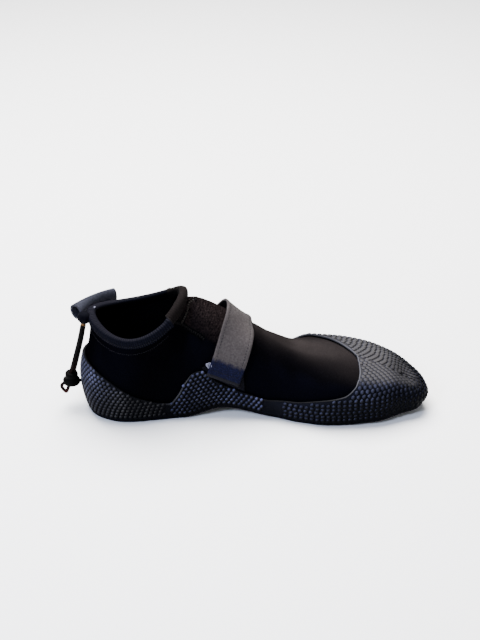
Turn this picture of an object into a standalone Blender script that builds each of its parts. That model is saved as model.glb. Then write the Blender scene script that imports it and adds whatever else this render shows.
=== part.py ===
"""Low wetsuit bootie for the left foot.

A neoprene upper stands in one moulded rubber shell, which is tread, rand, toe cap, side wings and heel
counter together. A webbing strap crosses the instep, a folded hem runs round the ankle, and an elastic
drawcord leaves the hem beside the pull loop at the heel.

Metres. +X runs from the heel to the toe, +Y to the outer side of the foot and +Z up from the floor.
While the pieces are worked out, X is 0 at the back of the heel.
"""

import math
from collections import namedtuple

import bmesh
import bpy
from mathutils import Vector

# Driving dimensions of the shoe
LENGTH = 0.275
BALL_WIDTH = 0.095
THROAT_HEIGHT = 0.0935
BACK_HEIGHT = 0.0780
UPPER_WALL = 0.0025
RUBBER_WALL = 0.0020
SOLE_THICKNESS = 0.0060
GAP = 0.0003

# Base line of the upper: how far it lies inside the shoe's length
HEEL_INSET = 0.0050
TOE_INSET = 0.0032
BASE_LENGTH = LENGTH - HEEL_INSET - TOE_INSET
EDGE_RADIUS = 0.0030
INSOLE_THICKNESS = 0.0030
INSOLE_GAP = 0.0012

# Collar: an oval from the back of the heel to the throat
COLLAR_BACK = 0.0102
COLLAR_HALF = 0.0320
COLLAR_RISE = 2.2
DIP_INNER = 0.0115
DIP_OUTER = 0.0101
DIP_POWER_INNER = 2.0
DIP_POWER_OUTER = 1.3
THROAT_ALONG = 0.333
RIDGE_LEAN = 0.0085
NOSE_ALONG = 0.93

# One row for each section of the base, from heel to toe.
# along: share of the base's length. axis and half: middle and half width, shares of the ball's width.
# crest: where the instep's ridge runs, a share of the ball's width. rise_in and rise_out: height of the
# tread's inner and outer edges. swell: how far the wall is pushed outwards above the base. wall, crown
# and drop: reach of the wall's lower handle up, and of its upper handle sideways and down.
Section = namedtuple("Section", "along axis half crest rise_in rise_out swell wall crown drop")
SECTIONS = (
    Section(0.000, 0.000, 0.000, 0.000, 0.0050, 0.0050, 0.0080, 0.40, 0.10, 0.40),
    Section(0.040, 0.000, 0.255, 0.000, 0.0008, 0.0008, 0.0060, 0.40, 0.10, 0.40),
    Section(0.124, 0.000, 0.323, 0.000, 0.0000, 0.0000, 0.0030, 0.40, 0.10, 0.40),
    Section(0.282, 0.030, 0.302, 0.030, 0.0000, 0.0000, 0.0030, 0.42, 0.35, 0.25),
    Section(0.406, 0.060, 0.303, 0.060, 0.0075, 0.0030, 0.0030, 0.50, 0.55, 0.00),
    Section(0.545, 0.062, 0.356, 0.062, 0.0015, 0.0000, 0.0030, 0.54, 0.54, 0.00),
    Section(0.628, 0.040, 0.405, 0.040, 0.0000, 0.0000, 0.0030, 0.62, 0.58, 0.00),
    Section(0.703, 0.022, 0.434, 0.022, 0.0000, 0.0000, 0.0040, 0.86, 0.80, 0.00),
    Section(0.846, -0.005, 0.397, -0.020, 0.0020, 0.0015, 0.0040, 0.92, 0.88, 0.00),
    Section(0.925, -0.027, 0.298, -0.070, 0.0040, 0.0040, 0.0050, 0.90, 0.86, 0.00),
    Section(0.977, -0.085, 0.185, -0.122, 0.0050, 0.0055, 0.0060, 0.80, 0.80, 0.05),
    Section(1.000, -0.145, 0.000, -0.145, 0.0055, 0.0055, 0.0060, 0.66, 0.66, 0.22),
)

# Height of the instep's ridge from the throat to the toe, as a share of the throat's height
Ridge = namedtuple("Ridge", "along height")
RIDGE = (
    Ridge(0.333, 1.000),
    Ridge(0.352, 0.997),
    Ridge(0.370, 0.976),
    Ridge(0.392, 0.938),
    Ridge(0.426, 0.880),
    Ridge(0.483, 0.775),
    Ridge(0.540, 0.660),
    Ridge(0.590, 0.563),
    Ridge(0.640, 0.482),
    Ridge(0.675, 0.450),
    Ridge(0.710, 0.432),
    Ridge(0.770, 0.418),
    Ridge(0.845, 0.384),
    Ridge(0.925, 0.330),
    Ridge(0.980, 0.250),
    Ridge(1.000, 0.228),
)

# Upper edge of the rubber on the inner and outer sides, as a share of the wall from base to top edge
Rim = namedtuple("Rim", "along inner outer")
RIM = (
    Rim(0.000, 0.570, 0.570),
    Rim(0.022, 0.560, 0.560),
    Rim(0.054, 0.495, 0.495),
    Rim(0.095, 0.370, 0.370),
    Rim(0.161, 0.200, 0.200),
    Rim(0.220, 0.110, 0.110),
    Rim(0.245, 0.095, 0.095),
    Rim(0.268, 0.155, 0.155),
    Rim(0.293, 0.260, 0.260),
    Rim(0.318, 0.300, 0.300),
    Rim(0.345, 0.285, 0.285),
    Rim(0.390, 0.175, 0.200),
    Rim(0.440, 0.125, 0.150),
    Rim(0.520, 0.110, 0.150),
    Rim(0.600, 0.170, 0.280),
    Rim(0.680, 0.230, 0.520),
    Rim(0.760, 0.300, 0.720),
    Rim(0.800, 0.450, 0.830),
    Rim(0.814, 0.560, 0.875),
    Rim(0.826, 0.670, 0.915),
    Rim(0.834, 0.780, 0.950),
    Rim(0.8385, 0.890, 0.980),
    Rim(0.840, 1.000, 1.000),
    Rim(1.000, 1.000, 1.000),
)

# Folded hem round the collar
HEM_RADIUS = 0.0034
HEM_GAP = 0.0003

# Instep strap: stations of its middle on the ridge and at its two ends, and how far its front edge is pulled
# down and its rear edge stands up over the ridge
STRAP_WIDTH = 0.0260
STRAP_THICKNESS = 0.0018
STRAP_STANDOFF = 0.0029
STRAP_LOFT = 0.0004
STRAP_TILT = 0.0019
STRAP_TOP = 0.478
STRAP_FOOT = 0.404
STRAP_BEND = 2.0
STRAP_END_INNER = 0.20
STRAP_END_OUTER = 0.36
PATCH_WIDTH = 0.0320
PATCH_MIDDLE = 0.410
PATCH_TOP = 0.31
PATCH_THICKNESS = 0.0016

# Pull loop: a strip rolled over behind the hem. A row for each station along the roll, from its open
# mouth to its far end: the roll's middle, its half depth and half height, and the foot of the strip's tail.
Roll = namedtuple("Roll", "middle depth height foot")
ROLL = (
    Roll(Vector((0.0006, 0.0062, 0.0806)), 0.0048, 0.0046, Vector((0.0040, 0.0012, 0.0742))),
    Roll(Vector((0.0104, 0.0217, 0.0800)), 0.0024, 0.0048, Vector((0.0105, 0.0172, 0.0735))),
    Roll(Vector((0.0252, 0.0338, 0.0786)), 0.0022, 0.0042, Vector((0.0225, 0.0300, 0.0728))),
)
LOOP_THICKNESS = 0.0014

# Drawcord: two strands side by side from the outlet down to the bell-shaped end piece
CORD_RADIUS = 0.00115
CORD_SPREAD = 0.0013
OUTLET_ROOT = Vector((0.0046, -0.0068, 0.0838))
OUTLET_TIP = Vector((0.0042, -0.0068, 0.0776))
OUTLET_RADII = (0.0026, 0.0022)
CORD_ROUTE = (
    Vector((0.0039, -0.0066, 0.0763)),
    Vector((0.0014, -0.0060, 0.0620)),
    Vector((-0.0022, -0.0054, 0.0470)),
    Vector((-0.0067, -0.0050, 0.0304)),
)
END_TOP = Vector((-0.0070, -0.0050, 0.0300))
END_FOOT = Vector((-0.0076, -0.0050, 0.0203))
Turned = namedtuple("Turned", "height radius")
END_PROFILE = (
    Turned(0.00, 0.0040),
    Turned(0.08, 0.0046),
    Turned(0.40, 0.0049),
    Turned(0.60, 0.0057),
    Turned(0.85, 0.0058),
    Turned(1.00, 0.0046),
)
LOOP_END_ROUTE = (
    Vector((-0.0099, -0.0064, 0.0193)),
    Vector((-0.0125, -0.0078, 0.0159)),
    Vector((-0.0151, -0.0072, 0.0119)),
    Vector((-0.0149, -0.0046, 0.0103)),
    Vector((-0.0121, -0.0030, 0.0135)),
    Vector((-0.0095, -0.0034, 0.0191)),
)

# Columns of the mesh between stations, counted from the heel to the toe on each side
Stop = namedtuple("Stop", "along columns")
STOPS = (
    Stop(0.120, 7),
    Stop(0.250, 5),
    Stop(0.350, 5),
    Stop(0.440, 4),
    Stop(0.760, 8),
    Stop(0.800, 2),
    Stop(0.814, 1),
    Stop(0.826, 1),
    Stop(0.834, 1),
    Stop(0.8385, 1),
    Stop(0.840, 1),
    Stop(0.960, 5),
    Stop(1.000, 3),
)
WALL_ROWS = 11
TREAD_ROWS = 2
EDGE_ROWS = 3

INNER, OUTER = -1, 1
UP = Vector((0, 0, 1))


def turn_of(along):
    """Angle round the base outline, 0 at the heel to 1 at the toe, where the share of the length is along."""
    return math.acos(1 - 2 * along) / math.pi


def along_of(turn):
    return (1 - math.cos(math.pi * turn)) / 2


THROAT_TURN = turn_of(THROAT_ALONG)


def smooth_column(rows, column):
    """A function of turn through one column of a table, without overshoot between its rows."""
    xs = [turn_of(row.along) for row in rows]
    ys = [getattr(row, column) for row in rows]
    slopes = [(ys[i + 1] - ys[i]) / (xs[i + 1] - xs[i]) for i in range(len(xs) - 1)]
    tangents = [slopes[0]]
    for before, after in zip(slopes, slopes[1:]):
        tangents.append(0 if before * after <= 0 else 2 * before * after / (before + after))
    tangents.append(slopes[-1])

    def value(turn):
        i = max(k for k in range(len(slopes)) if k == 0 or turn >= xs[k])
        width = xs[i + 1] - xs[i]
        u = (turn - xs[i]) / width
        start = (1 + 2 * u) * (1 - u) ** 2 * ys[i] + u * (1 - u) ** 2 * width * tangents[i]
        end = u * u * (3 - 2 * u) * ys[i + 1] - u * u * (1 - u) * width * tangents[i + 1]
        return start + end

    return value


SECTION = {name: smooth_column(SECTIONS, name) for name in Section._fields}
RIDGE_HEIGHT = smooth_column(RIDGE, "height")
RIM_SHARE = {INNER: smooth_column(RIM, "inner"), OUTER: smooth_column(RIM, "outer")}


def unfold(side, turn):
    """Carries a turn past the heel or the toe over to the other side of the foot."""
    if turn < 0:
        return -side, -turn
    if turn > 1:
        return -side, 2 - turn
    return side, turn


def tread_height(side, turn):
    return SECTION["rise_in" if side == INNER else "rise_out"](turn)


def base_point(side, turn):
    """Point of the base line, at the tread's height."""
    side, turn = unfold(side, turn)
    x = HEEL_INSET + along_of(turn) * BASE_LENGTH
    half = SECTION["half"](turn) * BALL_WIDTH
    axis = SECTION["axis"](turn) * BALL_WIDTH
    return Vector((x, axis + side * half, tread_height(side, turn)))


def outward(side, turn):
    """Level direction that points away from the foot at a place on the base line."""
    step = 0.002
    ahead = base_point(side, turn + step) - base_point(side, turn - step)
    return Vector((-side * ahead.y, side * ahead.x, 0)).normalized()


def top_point(side, turn):
    """Top edge of the upper's wall: the collar's oval up to the throat, then the instep's ridge."""
    axis = SECTION["crest"](turn) * BALL_WIDTH
    if turn > THROAT_TURN:
        x = base_point(side, turn).x - RIDGE_LEAN
        return Vector((x, axis, RIDGE_HEIGHT(turn) * THROAT_HEIGHT))
    throat = HEEL_INSET + THROAT_ALONG * BASE_LENGTH - RIDGE_LEAN
    angle = math.pi * turn / THROAT_TURN
    share = (1 - math.cos(angle)) / 2
    dip, power = (DIP_INNER, DIP_POWER_INNER) if side == INNER else (DIP_OUTER, DIP_POWER_OUTER)
    height = BACK_HEIGHT + (THROAT_HEIGHT - BACK_HEIGHT) * share**COLLAR_RISE
    height -= dip * max(0, math.sin(angle)) ** power
    x = COLLAR_BACK + (throat - COLLAR_BACK) * share
    return Vector((x, axis + side * COLLAR_HALF * math.sin(angle), height))


def wall_handles(side, turn):
    """The four points that shape the wall's curve from its base to its top edge."""
    side, turn = unfold(side, turn)
    base = base_point(side, turn) + UP * SOLE_THICKNESS
    top = top_point(side, turn)
    height = top.z - base.z
    nose = max(0, (along_of(turn) - NOSE_ALONG) / (1 - NOSE_ALONG))
    level = Vector(((base.x - top.x) * nose, base.y - top.y, 0))
    low = base + outward(side, turn) * SECTION["swell"](turn) + UP * height * SECTION["wall"](turn)
    high = top + level * SECTION["crown"](turn) - UP * height * SECTION["drop"](turn)
    return base, low, high, top


def bezier(handles, t):
    a, b, c, d = handles
    return a * (1 - t) ** 3 + b * 3 * t * (1 - t) ** 2 + c * 3 * t * t * (1 - t) + d * t**3


def wall_normal(side, turn, t):
    """Direction out of the upper's outer face, read just below the top edge at the top edge itself."""
    step = 0.002
    t = min(t, 0.98)
    a, b, c, d = wall_handles(side, turn)
    climb = (b - a) * (1 - t) ** 2 + (c - b) * 2 * t * (1 - t) + (d - c) * t * t
    ahead = bezier(wall_handles(side, turn + step), t) - bezier(wall_handles(side, turn - step), t)
    return climb.cross(ahead).normalized() * side


def wall_point(side, turn, t, offset=0.0):
    """Point of the upper's outer face, t from base to top edge, moved outwards by offset."""
    point = bezier(wall_handles(side, turn), t)
    if not offset:
        return point
    normal = wall_normal(side, turn, t)
    if t > 0.999 and turn > THROAT_TURN:
        normal = (normal + wall_normal(-side, turn, t)).normalized()
    return point + normal * offset


def column_turns():
    """Turns of the mesh's columns from the heel to the toe."""
    turns = [0.0]
    for stop in STOPS:
        start, end = turns[-1], turn_of(stop.along)
        turns += [start + (end - start) * (k + 1) / stop.columns for k in range(stop.columns)]
    return turns


TURNS = column_turns()
SIDE_COLUMNS = len(TURNS) - 1


def column_place(column):
    """Side and turn of a column, counted from the toe along the inner side, round the heel, to the toe."""
    return (INNER if column < SIDE_COLUMNS else OUTER), TURNS[abs(column - SIDE_COLUMNS)]


def material(name, colour, roughness):
    made = bpy.data.materials.new(name)
    made.use_nodes = True
    shader = made.node_tree.nodes["Principled BSDF"]
    shader.inputs["Base Color"].default_value = (*colour, 1.0)
    shader.inputs["Roughness"].default_value = roughness
    made.diffuse_color = (*colour, 1.0)
    return made


def place_grid(form, columns, rows, place):
    """Adds a grid, each square of it cut the same way, and moves its vertices to place(column, row)."""
    made = bmesh.ops.create_grid(form, x_segments=columns, y_segments=rows, size=0.5)["verts"]
    squares = list({face for vertex in made for face in vertex.link_faces})
    squares.sort(key=lambda face: face.index)
    bmesh.ops.triangulate(form, faces=squares, quad_method="FIXED")
    for vertex in made:
        column = round((vertex.co.x + 0.5) * columns)
        row = round((vertex.co.y + 0.5) * rows)
        vertex.co = place(column, row)


def add_object(name, data, looks, parent):
    made = bpy.data.objects.new(name, data)
    data.materials.append(looks)
    made.parent = parent
    bpy.data.collections["wetsuit_bootie"].objects.link(made)
    return made


def add_mesh(name, form, looks, parent):
    """Object of a welded mesh with smooth faces."""
    bmesh.ops.remove_doubles(form, verts=form.verts, dist=0.00001)
    for face in form.faces:
        face.smooth = True
    data = bpy.data.meshes.new(name)
    form.to_mesh(data)
    form.free()
    return add_object(name, data, looks, parent)


def thicken(made, thickness, offset):
    wall = made.modifiers.new("wall", "SOLIDIFY")
    wall.thickness = thickness
    wall.offset = offset


def face_outwards(form, inside):
    """Turns the faces of an open surface so that its largest face looks away from the point inside."""
    bmesh.ops.recalc_face_normals(form, faces=form.faces)
    form.normal_update()
    largest = max(form.faces, key=lambda face: face.calc_area())
    if largest.normal.dot(largest.calc_center_median() - inside) < 0:
        bmesh.ops.reverse_faces(form, faces=form.faces)


def close_outwards(form):
    """Turns the faces of a closed surface outwards."""
    bmesh.ops.recalc_face_normals(form, faces=form.faces)
    if form.calc_volume(signed=True) < 0:
        bmesh.ops.reverse_faces(form, faces=form.faces)


def add_upper(parent):
    def place(column, row):
        side, turn = column_place(column)
        return wall_point(side, turn, row / WALL_ROWS)

    form = bmesh.new()
    place_grid(form, 2 * SIDE_COLUMNS, WALL_ROWS, place)
    bmesh.ops.remove_doubles(form, verts=form.verts, dist=0.00001)
    face_outwards(form, Vector((0.12, 0, 0.03)))
    upper = add_mesh("upper", form, material("neoprene", (0.025, 0.024, 0.026), 0.85), parent)
    thicken(upper, UPPER_WALL, -1)


def rim_row(side, turn, row):
    """Place up the wall of one row of the rubber, which ends at the rim."""
    return min(row / WALL_ROWS, RIM_SHARE[side](turn), 1)


def tread_line(turn, offset, row):
    """Spot on the line across the tread from its middle to the edge of one side, and the tread's height there."""
    edges = {way: wall_point(way, turn, 0, offset) for way in (INNER, OUTER)}
    ground = {way: base_point(way, turn).z for way in (INNER, OUTER)}
    side = INNER if row < 0 else OUTER
    share = abs(row) / TREAD_ROWS
    spot = ((edges[INNER] + edges[OUTER]) / 2).lerp(edges[side], share)
    level = (ground[INNER] + ground[OUTER]) / 2
    return Vector((spot.x, spot.y, level + (ground[side] - level) * share))


def shell_outer(column, row):
    """Rubber's outer face: tread from its middle line to its edge, the rounded edge, then up to the rim."""
    side, turn = column_place(column)
    offset = GAP + RUBBER_WALL
    if row <= TREAD_ROWS:
        return tread_line(turn, offset - EDGE_RADIUS, side * row)
    if row <= TREAD_ROWS + EDGE_ROWS:
        angle = math.pi / 2 * (row - TREAD_ROWS) / EDGE_ROWS
        inset = EDGE_RADIUS * (1 - math.sin(angle))
        spot = wall_point(side, turn, 0, offset - inset)
        height = base_point(side, turn).z + EDGE_RADIUS * (1 - math.cos(angle))
        return Vector((spot.x, spot.y, height))
    return wall_point(side, turn, rim_row(side, turn, row - TREAD_ROWS - EDGE_ROWS), offset)


def shell_inner(column, row):
    """Rubber's inner face: the floor from its middle line outwards, then up beside the upper to the rim."""
    side, turn = column_place(column)
    if row <= TREAD_ROWS:
        return tread_line(turn, GAP, side * row) + UP * (SOLE_THICKNESS - 2 * GAP)
    return wall_point(side, turn, rim_row(side, turn, row - TREAD_ROWS), GAP)


def add_outsole(parent):
    form = bmesh.new()
    place_grid(form, 2 * SIDE_COLUMNS, TREAD_ROWS + EDGE_ROWS + WALL_ROWS, shell_outer)
    place_grid(form, 2 * SIDE_COLUMNS, TREAD_ROWS + WALL_ROWS, shell_inner)
    bmesh.ops.remove_doubles(form, verts=form.verts, dist=0.00001)
    rim = [edge for edge in form.edges if edge.is_boundary]
    bmesh.ops.bridge_loops(form, edges=rim)
    close_outwards(form)
    add_mesh("outsole", form, material("rubber", (0.030, 0.030, 0.036), 0.55), parent)


def add_insole(parent):
    def place(column, row):
        spot = tread_line(TURNS[column], -UPPER_WALL - INSOLE_GAP, row - TREAD_ROWS)
        return spot + UP * (SOLE_THICKNESS + GAP)

    form = bmesh.new()
    place_grid(form, SIDE_COLUMNS, 2 * TREAD_ROWS, place)
    bmesh.ops.remove_doubles(form, verts=form.verts, dist=0.00001)
    face_outwards(form, Vector((0.13, 0, -0.1)))
    insole = add_mesh("insole", form, material("insole_foam", (0.05, 0.05, 0.055), 0.9), parent)
    thicken(insole, INSOLE_THICKNESS, 1)


def collar_line(columns):
    """Middle of the hem: a closed line that rides on the upper's top edge."""
    edge = []
    for column in range(2 * columns):
        side = INNER if column < columns else OUTER
        turn = THROAT_TURN * abs(column / columns - 1)
        inwards = -outward(side, turn) * math.sin(math.pi * turn / THROAT_TURN)
        edge.append(top_point(side, turn) + inwards * UPPER_WALL / 2)
    line = []
    for column, place in enumerate(edge):
        ahead = (edge[(column + 1) % len(edge)] - edge[column - 1]).normalized()
        lift = (UP - ahead * ahead.z).normalized()
        line.append(place + lift * (HEM_RADIUS + HEM_GAP))
    return line


def add_tube(name, line, radius, looks, parent, closed=False):
    """Round tube along a line of points, with filled ends unless it closes on itself."""
    data = bpy.data.curves.new(name, "CURVE")
    data.dimensions = "3D"
    data.bevel_depth = radius
    data.bevel_resolution = 2
    data.use_fill_caps = True
    spline = data.splines.new("POLY")
    spline.points.add(len(line) - 1)
    for point, place in zip(spline.points, line):
        point.co = (*place, 1)
    spline.use_cyclic_u = closed
    spline.use_smooth = True
    return add_object(name, data, looks, parent)


def strap_line(s):
    """Middle of the strap's lower face, s from -1 at the inner end over the ridge to 1 at the outer end."""
    side = INNER if s < 0 else OUTER
    end = STRAP_END_INNER if side == INNER else STRAP_END_OUTER
    reach = abs(s)
    t = 1 - reach * (1 - end)
    along = STRAP_TOP + (STRAP_FOOT - STRAP_TOP) * reach**STRAP_BEND
    offset = STRAP_STANDOFF + STRAP_LOFT * math.cos(math.pi * s / 2) ** 2
    return wall_point(side, turn_of(along), t, offset)


def add_strap(parent):
    columns, rows = 32, 4

    def place(column, row):
        s = 2 * column / columns - 1
        step = 0.02
        ahead = (strap_line(min(s + step, 1)) - strap_line(max(s - step, -1))).normalized()
        slope = wall_point(OUTER, turn_of(STRAP_TOP + 0.03), 1) - wall_point(OUTER, turn_of(STRAP_TOP - 0.03), 1)
        level = min(1, max(0, (abs(s) - 0.10) / 0.65))
        across = slope.normalized().lerp(Vector((1, 0, 0.1)).normalized(), level * level * (3 - 2 * level))
        across = (across - ahead * across.dot(ahead)).normalized()
        share = 2 * row / rows - 1
        tilt = STRAP_TILT * share * math.cos(math.pi * s / 2) ** 4
        return strap_line(s) + across * STRAP_WIDTH / 2 * share + ahead.cross(across) * tilt

    form = bmesh.new()
    place_grid(form, columns, rows, place)
    face_outwards(form, Vector((0.12, 0, 0.03)))
    strap = add_mesh("instep_strap", form, material("webbing", (0.09, 0.085, 0.09), 0.8), parent)
    thicken(strap, STRAP_THICKNESS, 1)


def add_patch(parent):
    columns, rows = 6, 6
    half_along = PATCH_WIDTH / BASE_LENGTH / 2

    def place(column, row):
        along = PATCH_MIDDLE + half_along * (2 * column / columns - 1)
        low = RIM_SHARE[INNER](turn_of(along)) + 0.02
        t = low + (PATCH_TOP - low) * row / rows
        return wall_point(INNER, turn_of(along), t, GAP)

    form = bmesh.new()
    place_grid(form, columns, rows, place)
    face_outwards(form, Vector((0.12, 0, 0.03)))
    patch = add_mesh("strap_patch", form, material("patch", (0.02, 0.02, 0.022), 0.7), parent)
    thicken(patch, PATCH_THICKNESS, 1)


def add_pull_loop(parent):
    run = (ROLL[-1].middle - ROLL[0].middle).normalized()
    inwards = run.cross(UP).normalized()
    tail_rows, round_rows, columns = 4, 16, 8
    start, sweep = math.radians(-66), math.radians(312)

    def along_roll(name, share):
        """Value of one column of the roll's rows, on the curve through its three stations."""
        near, middle, far = (getattr(row, name) for row in ROLL)
        return near * (1 - share) * (1 - 2 * share) + middle * 4 * share * (1 - share) + far * share * (2 * share - 1)

    def place(column, row):
        share = column / columns
        angle = start + sweep * max(0, row - tail_rows) / round_rows
        ring = along_roll("middle", share)
        ring = ring + inwards * along_roll("depth", share) * math.cos(angle)
        ring = ring + UP * along_roll("height", share) * math.sin(angle)
        return along_roll("foot", share).lerp(ring, min(1, row / tail_rows))

    form = bmesh.new()
    place_grid(form, columns, tail_rows + round_rows, place)
    bmesh.ops.recalc_face_normals(form, faces=form.faces)
    loop = add_mesh("pull_loop", form, material("loop_strip", (0.075, 0.075, 0.085), 0.75), parent)
    thicken(loop, LOOP_THICKNESS, 0)


def add_turned(name, foot, top, profile, looks, parent):
    """Solid turned round the line from foot to top, from rows of height share and radius."""
    length = (top - foot).length
    form = bmesh.new()
    line = [Vector((0, 0, 0))]
    line += [Vector((row.radius, 0, row.height * length)) for row in profile]
    line.append(Vector((0, 0, length)))
    points = [form.verts.new(place) for place in line]
    for start, end in zip(points, points[1:]):
        form.edges.new((start, end))
    bmesh.ops.spin(
        form,
        geom=form.verts[:] + form.edges[:],
        cent=(0, 0, 0),
        axis=(0, 0, 1),
        angle=2 * math.pi,
        steps=20,
        use_merge=True,
    )
    bmesh.ops.remove_doubles(form, verts=form.verts, dist=0.00001)
    close_outwards(form)
    made = add_mesh(name, form, looks, parent)
    made.location = foot
    made.rotation_euler = (top - foot).to_track_quat("Z", "Y").to_euler()
    return made


def smooth_route(route, steps):
    """Points of a smooth curve through a few route points."""
    line = []
    for i in range(len(route) - 1):
        before = route[max(i - 1, 0)]
        start, end = route[i], route[i + 1]
        after = route[min(i + 2, len(route) - 1)]
        for k in range(steps):
            u = k / steps
            line.append(
                start * (1 - 3 * u * u + 2 * u**3)
                + end * (3 * u * u - 2 * u**3)
                + (end - before) / 2 * (u - 2 * u * u + u**3)
                + (after - start) / 2 * (u**3 - u * u)
            )
    line.append(route[-1])
    return line


def add_drawcord(parent):
    rubber_grey = material("cord_rubber", (0.03, 0.03, 0.032), 0.5)
    root_radius, tip_radius = OUTLET_RADII
    outlet = (Turned(0.0, tip_radius), Turned(0.35, root_radius), Turned(1.0, root_radius))
    add_turned("cord_outlet", OUTLET_TIP, OUTLET_ROOT, outlet, rubber_grey, parent)
    elastic = material("elastic_cord", (0.02, 0.02, 0.02), 0.8)
    route = smooth_route(CORD_ROUTE, 4)
    for name, spread in (("drawcord_a", -CORD_SPREAD), ("drawcord_b", CORD_SPREAD)):
        line = [place + Vector((spread, 0, 0)) for place in route]
        add_tube(name, line, CORD_RADIUS, elastic, parent)
    turned_up = tuple(Turned(1 - row.height, row.radius) for row in reversed(END_PROFILE))
    add_turned("cord_end", END_FOOT, END_TOP, turned_up, rubber_grey, parent)
    add_tube("cord_loop", smooth_route(LOOP_END_ROUTE, 3), CORD_RADIUS * 0.9, elastic, parent)


def centre_on_floor(root):
    """Moves the shoe so that the middle of the box round its sole and pull loop is over the origin."""
    bpy.context.view_layer.update()
    shapes = bpy.context.evaluated_depsgraph_get()
    corners = [
        Vector(corner)
        for made in root.children
        if made.name in ("outsole", "pull_loop")
        for corner in made.evaluated_get(shapes).bound_box
    ]
    low = [min(corner[i] for corner in corners) for i in range(2)]
    high = [max(corner[i] for corner in corners) for i in range(2)]
    root.location = (-(low[0] + high[0]) / 2, -(low[1] + high[1]) / 2, 0)


def main():
    for old in list(bpy.data.objects):
        bpy.data.objects.remove(old)
    shoe = bpy.data.collections.new("wetsuit_bootie")
    bpy.context.scene.collection.children.link(shoe)
    root = bpy.data.objects.new("root", None)
    shoe.objects.link(root)
    add_outsole(root)
    add_insole(root)
    add_upper(root)
    hem = material("hem", (0.03, 0.028, 0.028), 0.85)
    add_tube("collar_binding", collar_line(24), HEM_RADIUS, hem, root, closed=True)
    add_strap(root)
    add_patch(root)
    add_pull_loop(root)
    add_drawcord(root)
    centre_on_floor(root)


main()
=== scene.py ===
"""Looks of a low wetsuit bootie for the left foot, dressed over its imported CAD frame.

Metres. +X runs from the heel to the toe, +Y to the outer side of the foot and +Z up from the floor.
While the pieces are worked out, X is 0 at the back of the heel; add_piece carries them to the frame's origin.
"""

import math
from collections import namedtuple
from functools import lru_cache
from itertools import product

import bmesh
import bpy
from bpy.props import FloatProperty, FloatVectorProperty, PointerProperty
from mathutils import Matrix, Vector, noise
from mathutils.kdtree import KDTree


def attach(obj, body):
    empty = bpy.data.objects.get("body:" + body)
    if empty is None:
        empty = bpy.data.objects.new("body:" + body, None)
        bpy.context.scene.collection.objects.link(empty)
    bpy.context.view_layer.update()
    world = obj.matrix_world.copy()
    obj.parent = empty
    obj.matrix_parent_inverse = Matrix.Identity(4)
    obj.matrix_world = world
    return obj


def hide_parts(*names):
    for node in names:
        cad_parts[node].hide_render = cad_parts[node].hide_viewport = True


bl_info = {
    "name": "Wetsuit bootie looks",
    "version": (1, 0, 0),
    "blender": (4, 5, 0),
    "location": "View3D > Sidebar > Bootie",
    "description": "Dresses the frame of a wetsuit bootie: rubber, neoprene, hem, strap and drawcord",
    "category": "Add Mesh",
}

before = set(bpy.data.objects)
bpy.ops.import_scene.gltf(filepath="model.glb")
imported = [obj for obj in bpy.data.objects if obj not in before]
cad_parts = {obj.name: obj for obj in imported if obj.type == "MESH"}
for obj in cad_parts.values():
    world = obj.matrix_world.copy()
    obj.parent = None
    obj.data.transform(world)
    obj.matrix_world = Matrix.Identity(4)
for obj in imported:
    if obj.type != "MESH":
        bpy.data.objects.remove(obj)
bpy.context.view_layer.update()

# ---------------------------------------------------------------------------------------------------------
# Shape of the last

LENGTH = 0.275
BALL_WIDTH = 0.095
THROAT_HEIGHT = 0.0935
BACK_HEIGHT = 0.0780
UPPER_WALL = 0.0025
RUBBER_WALL = 0.0020
SOLE_THICKNESS = 0.0060
GAP = 0.0003
SHOE_MIDDLE = Vector((0.136245, 0.001893, 0))

HEEL_INSET = 0.0050
TOE_INSET = 0.0032
BASE_LENGTH = LENGTH - HEEL_INSET - TOE_INSET
EDGE_RADIUS = 0.0030
INSOLE_THICKNESS = 0.0030
INSOLE_GAP = 0.0012

COLLAR_BACK = 0.0102
COLLAR_HALF = 0.0320
COLLAR_RISE = 2.2
DIP_INNER = 0.0115
DIP_OUTER = 0.0101
DIP_POWER_INNER = 2.0
DIP_POWER_OUTER = 1.3
THROAT_ALONG = 0.333
RIDGE_LEAN = 0.0085
NOSE_ALONG = 0.93

# One row for each section of the base, from heel to toe: along, a share of the base's length; axis, half and
# crest, shares of the ball's width; heights of the tread's edges; and the reach of the wall's handles.
Section = namedtuple("Section", "along axis half crest rise_in rise_out swell wall crown drop")
SECTIONS = (
    Section(0.000, 0.000, 0.000, 0.000, 0.0050, 0.0050, 0.0080, 0.40, 0.10, 0.40),
    Section(0.040, 0.000, 0.255, 0.000, 0.0008, 0.0008, 0.0060, 0.40, 0.10, 0.40),
    Section(0.124, 0.000, 0.323, 0.000, 0.0000, 0.0000, 0.0030, 0.40, 0.10, 0.40),
    Section(0.282, 0.030, 0.302, 0.030, 0.0000, 0.0000, 0.0030, 0.42, 0.35, 0.25),
    Section(0.406, 0.060, 0.303, 0.060, 0.0075, 0.0030, 0.0030, 0.50, 0.55, 0.00),
    Section(0.545, 0.062, 0.356, 0.062, 0.0015, 0.0000, 0.0030, 0.54, 0.54, 0.00),
    Section(0.628, 0.040, 0.405, 0.040, 0.0000, 0.0000, 0.0030, 0.62, 0.58, 0.00),
    Section(0.703, 0.022, 0.434, 0.022, 0.0000, 0.0000, 0.0040, 0.86, 0.80, 0.00),
    Section(0.846, -0.005, 0.397, -0.020, 0.0020, 0.0015, 0.0040, 0.92, 0.88, 0.00),
    Section(0.925, -0.027, 0.298, -0.070, 0.0040, 0.0040, 0.0050, 0.90, 0.86, 0.00),
    Section(0.977, -0.085, 0.185, -0.122, 0.0050, 0.0055, 0.0060, 0.80, 0.80, 0.05),
    Section(1.000, -0.145, 0.000, -0.145, 0.0055, 0.0055, 0.0060, 0.66, 0.66, 0.22),
)

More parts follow.
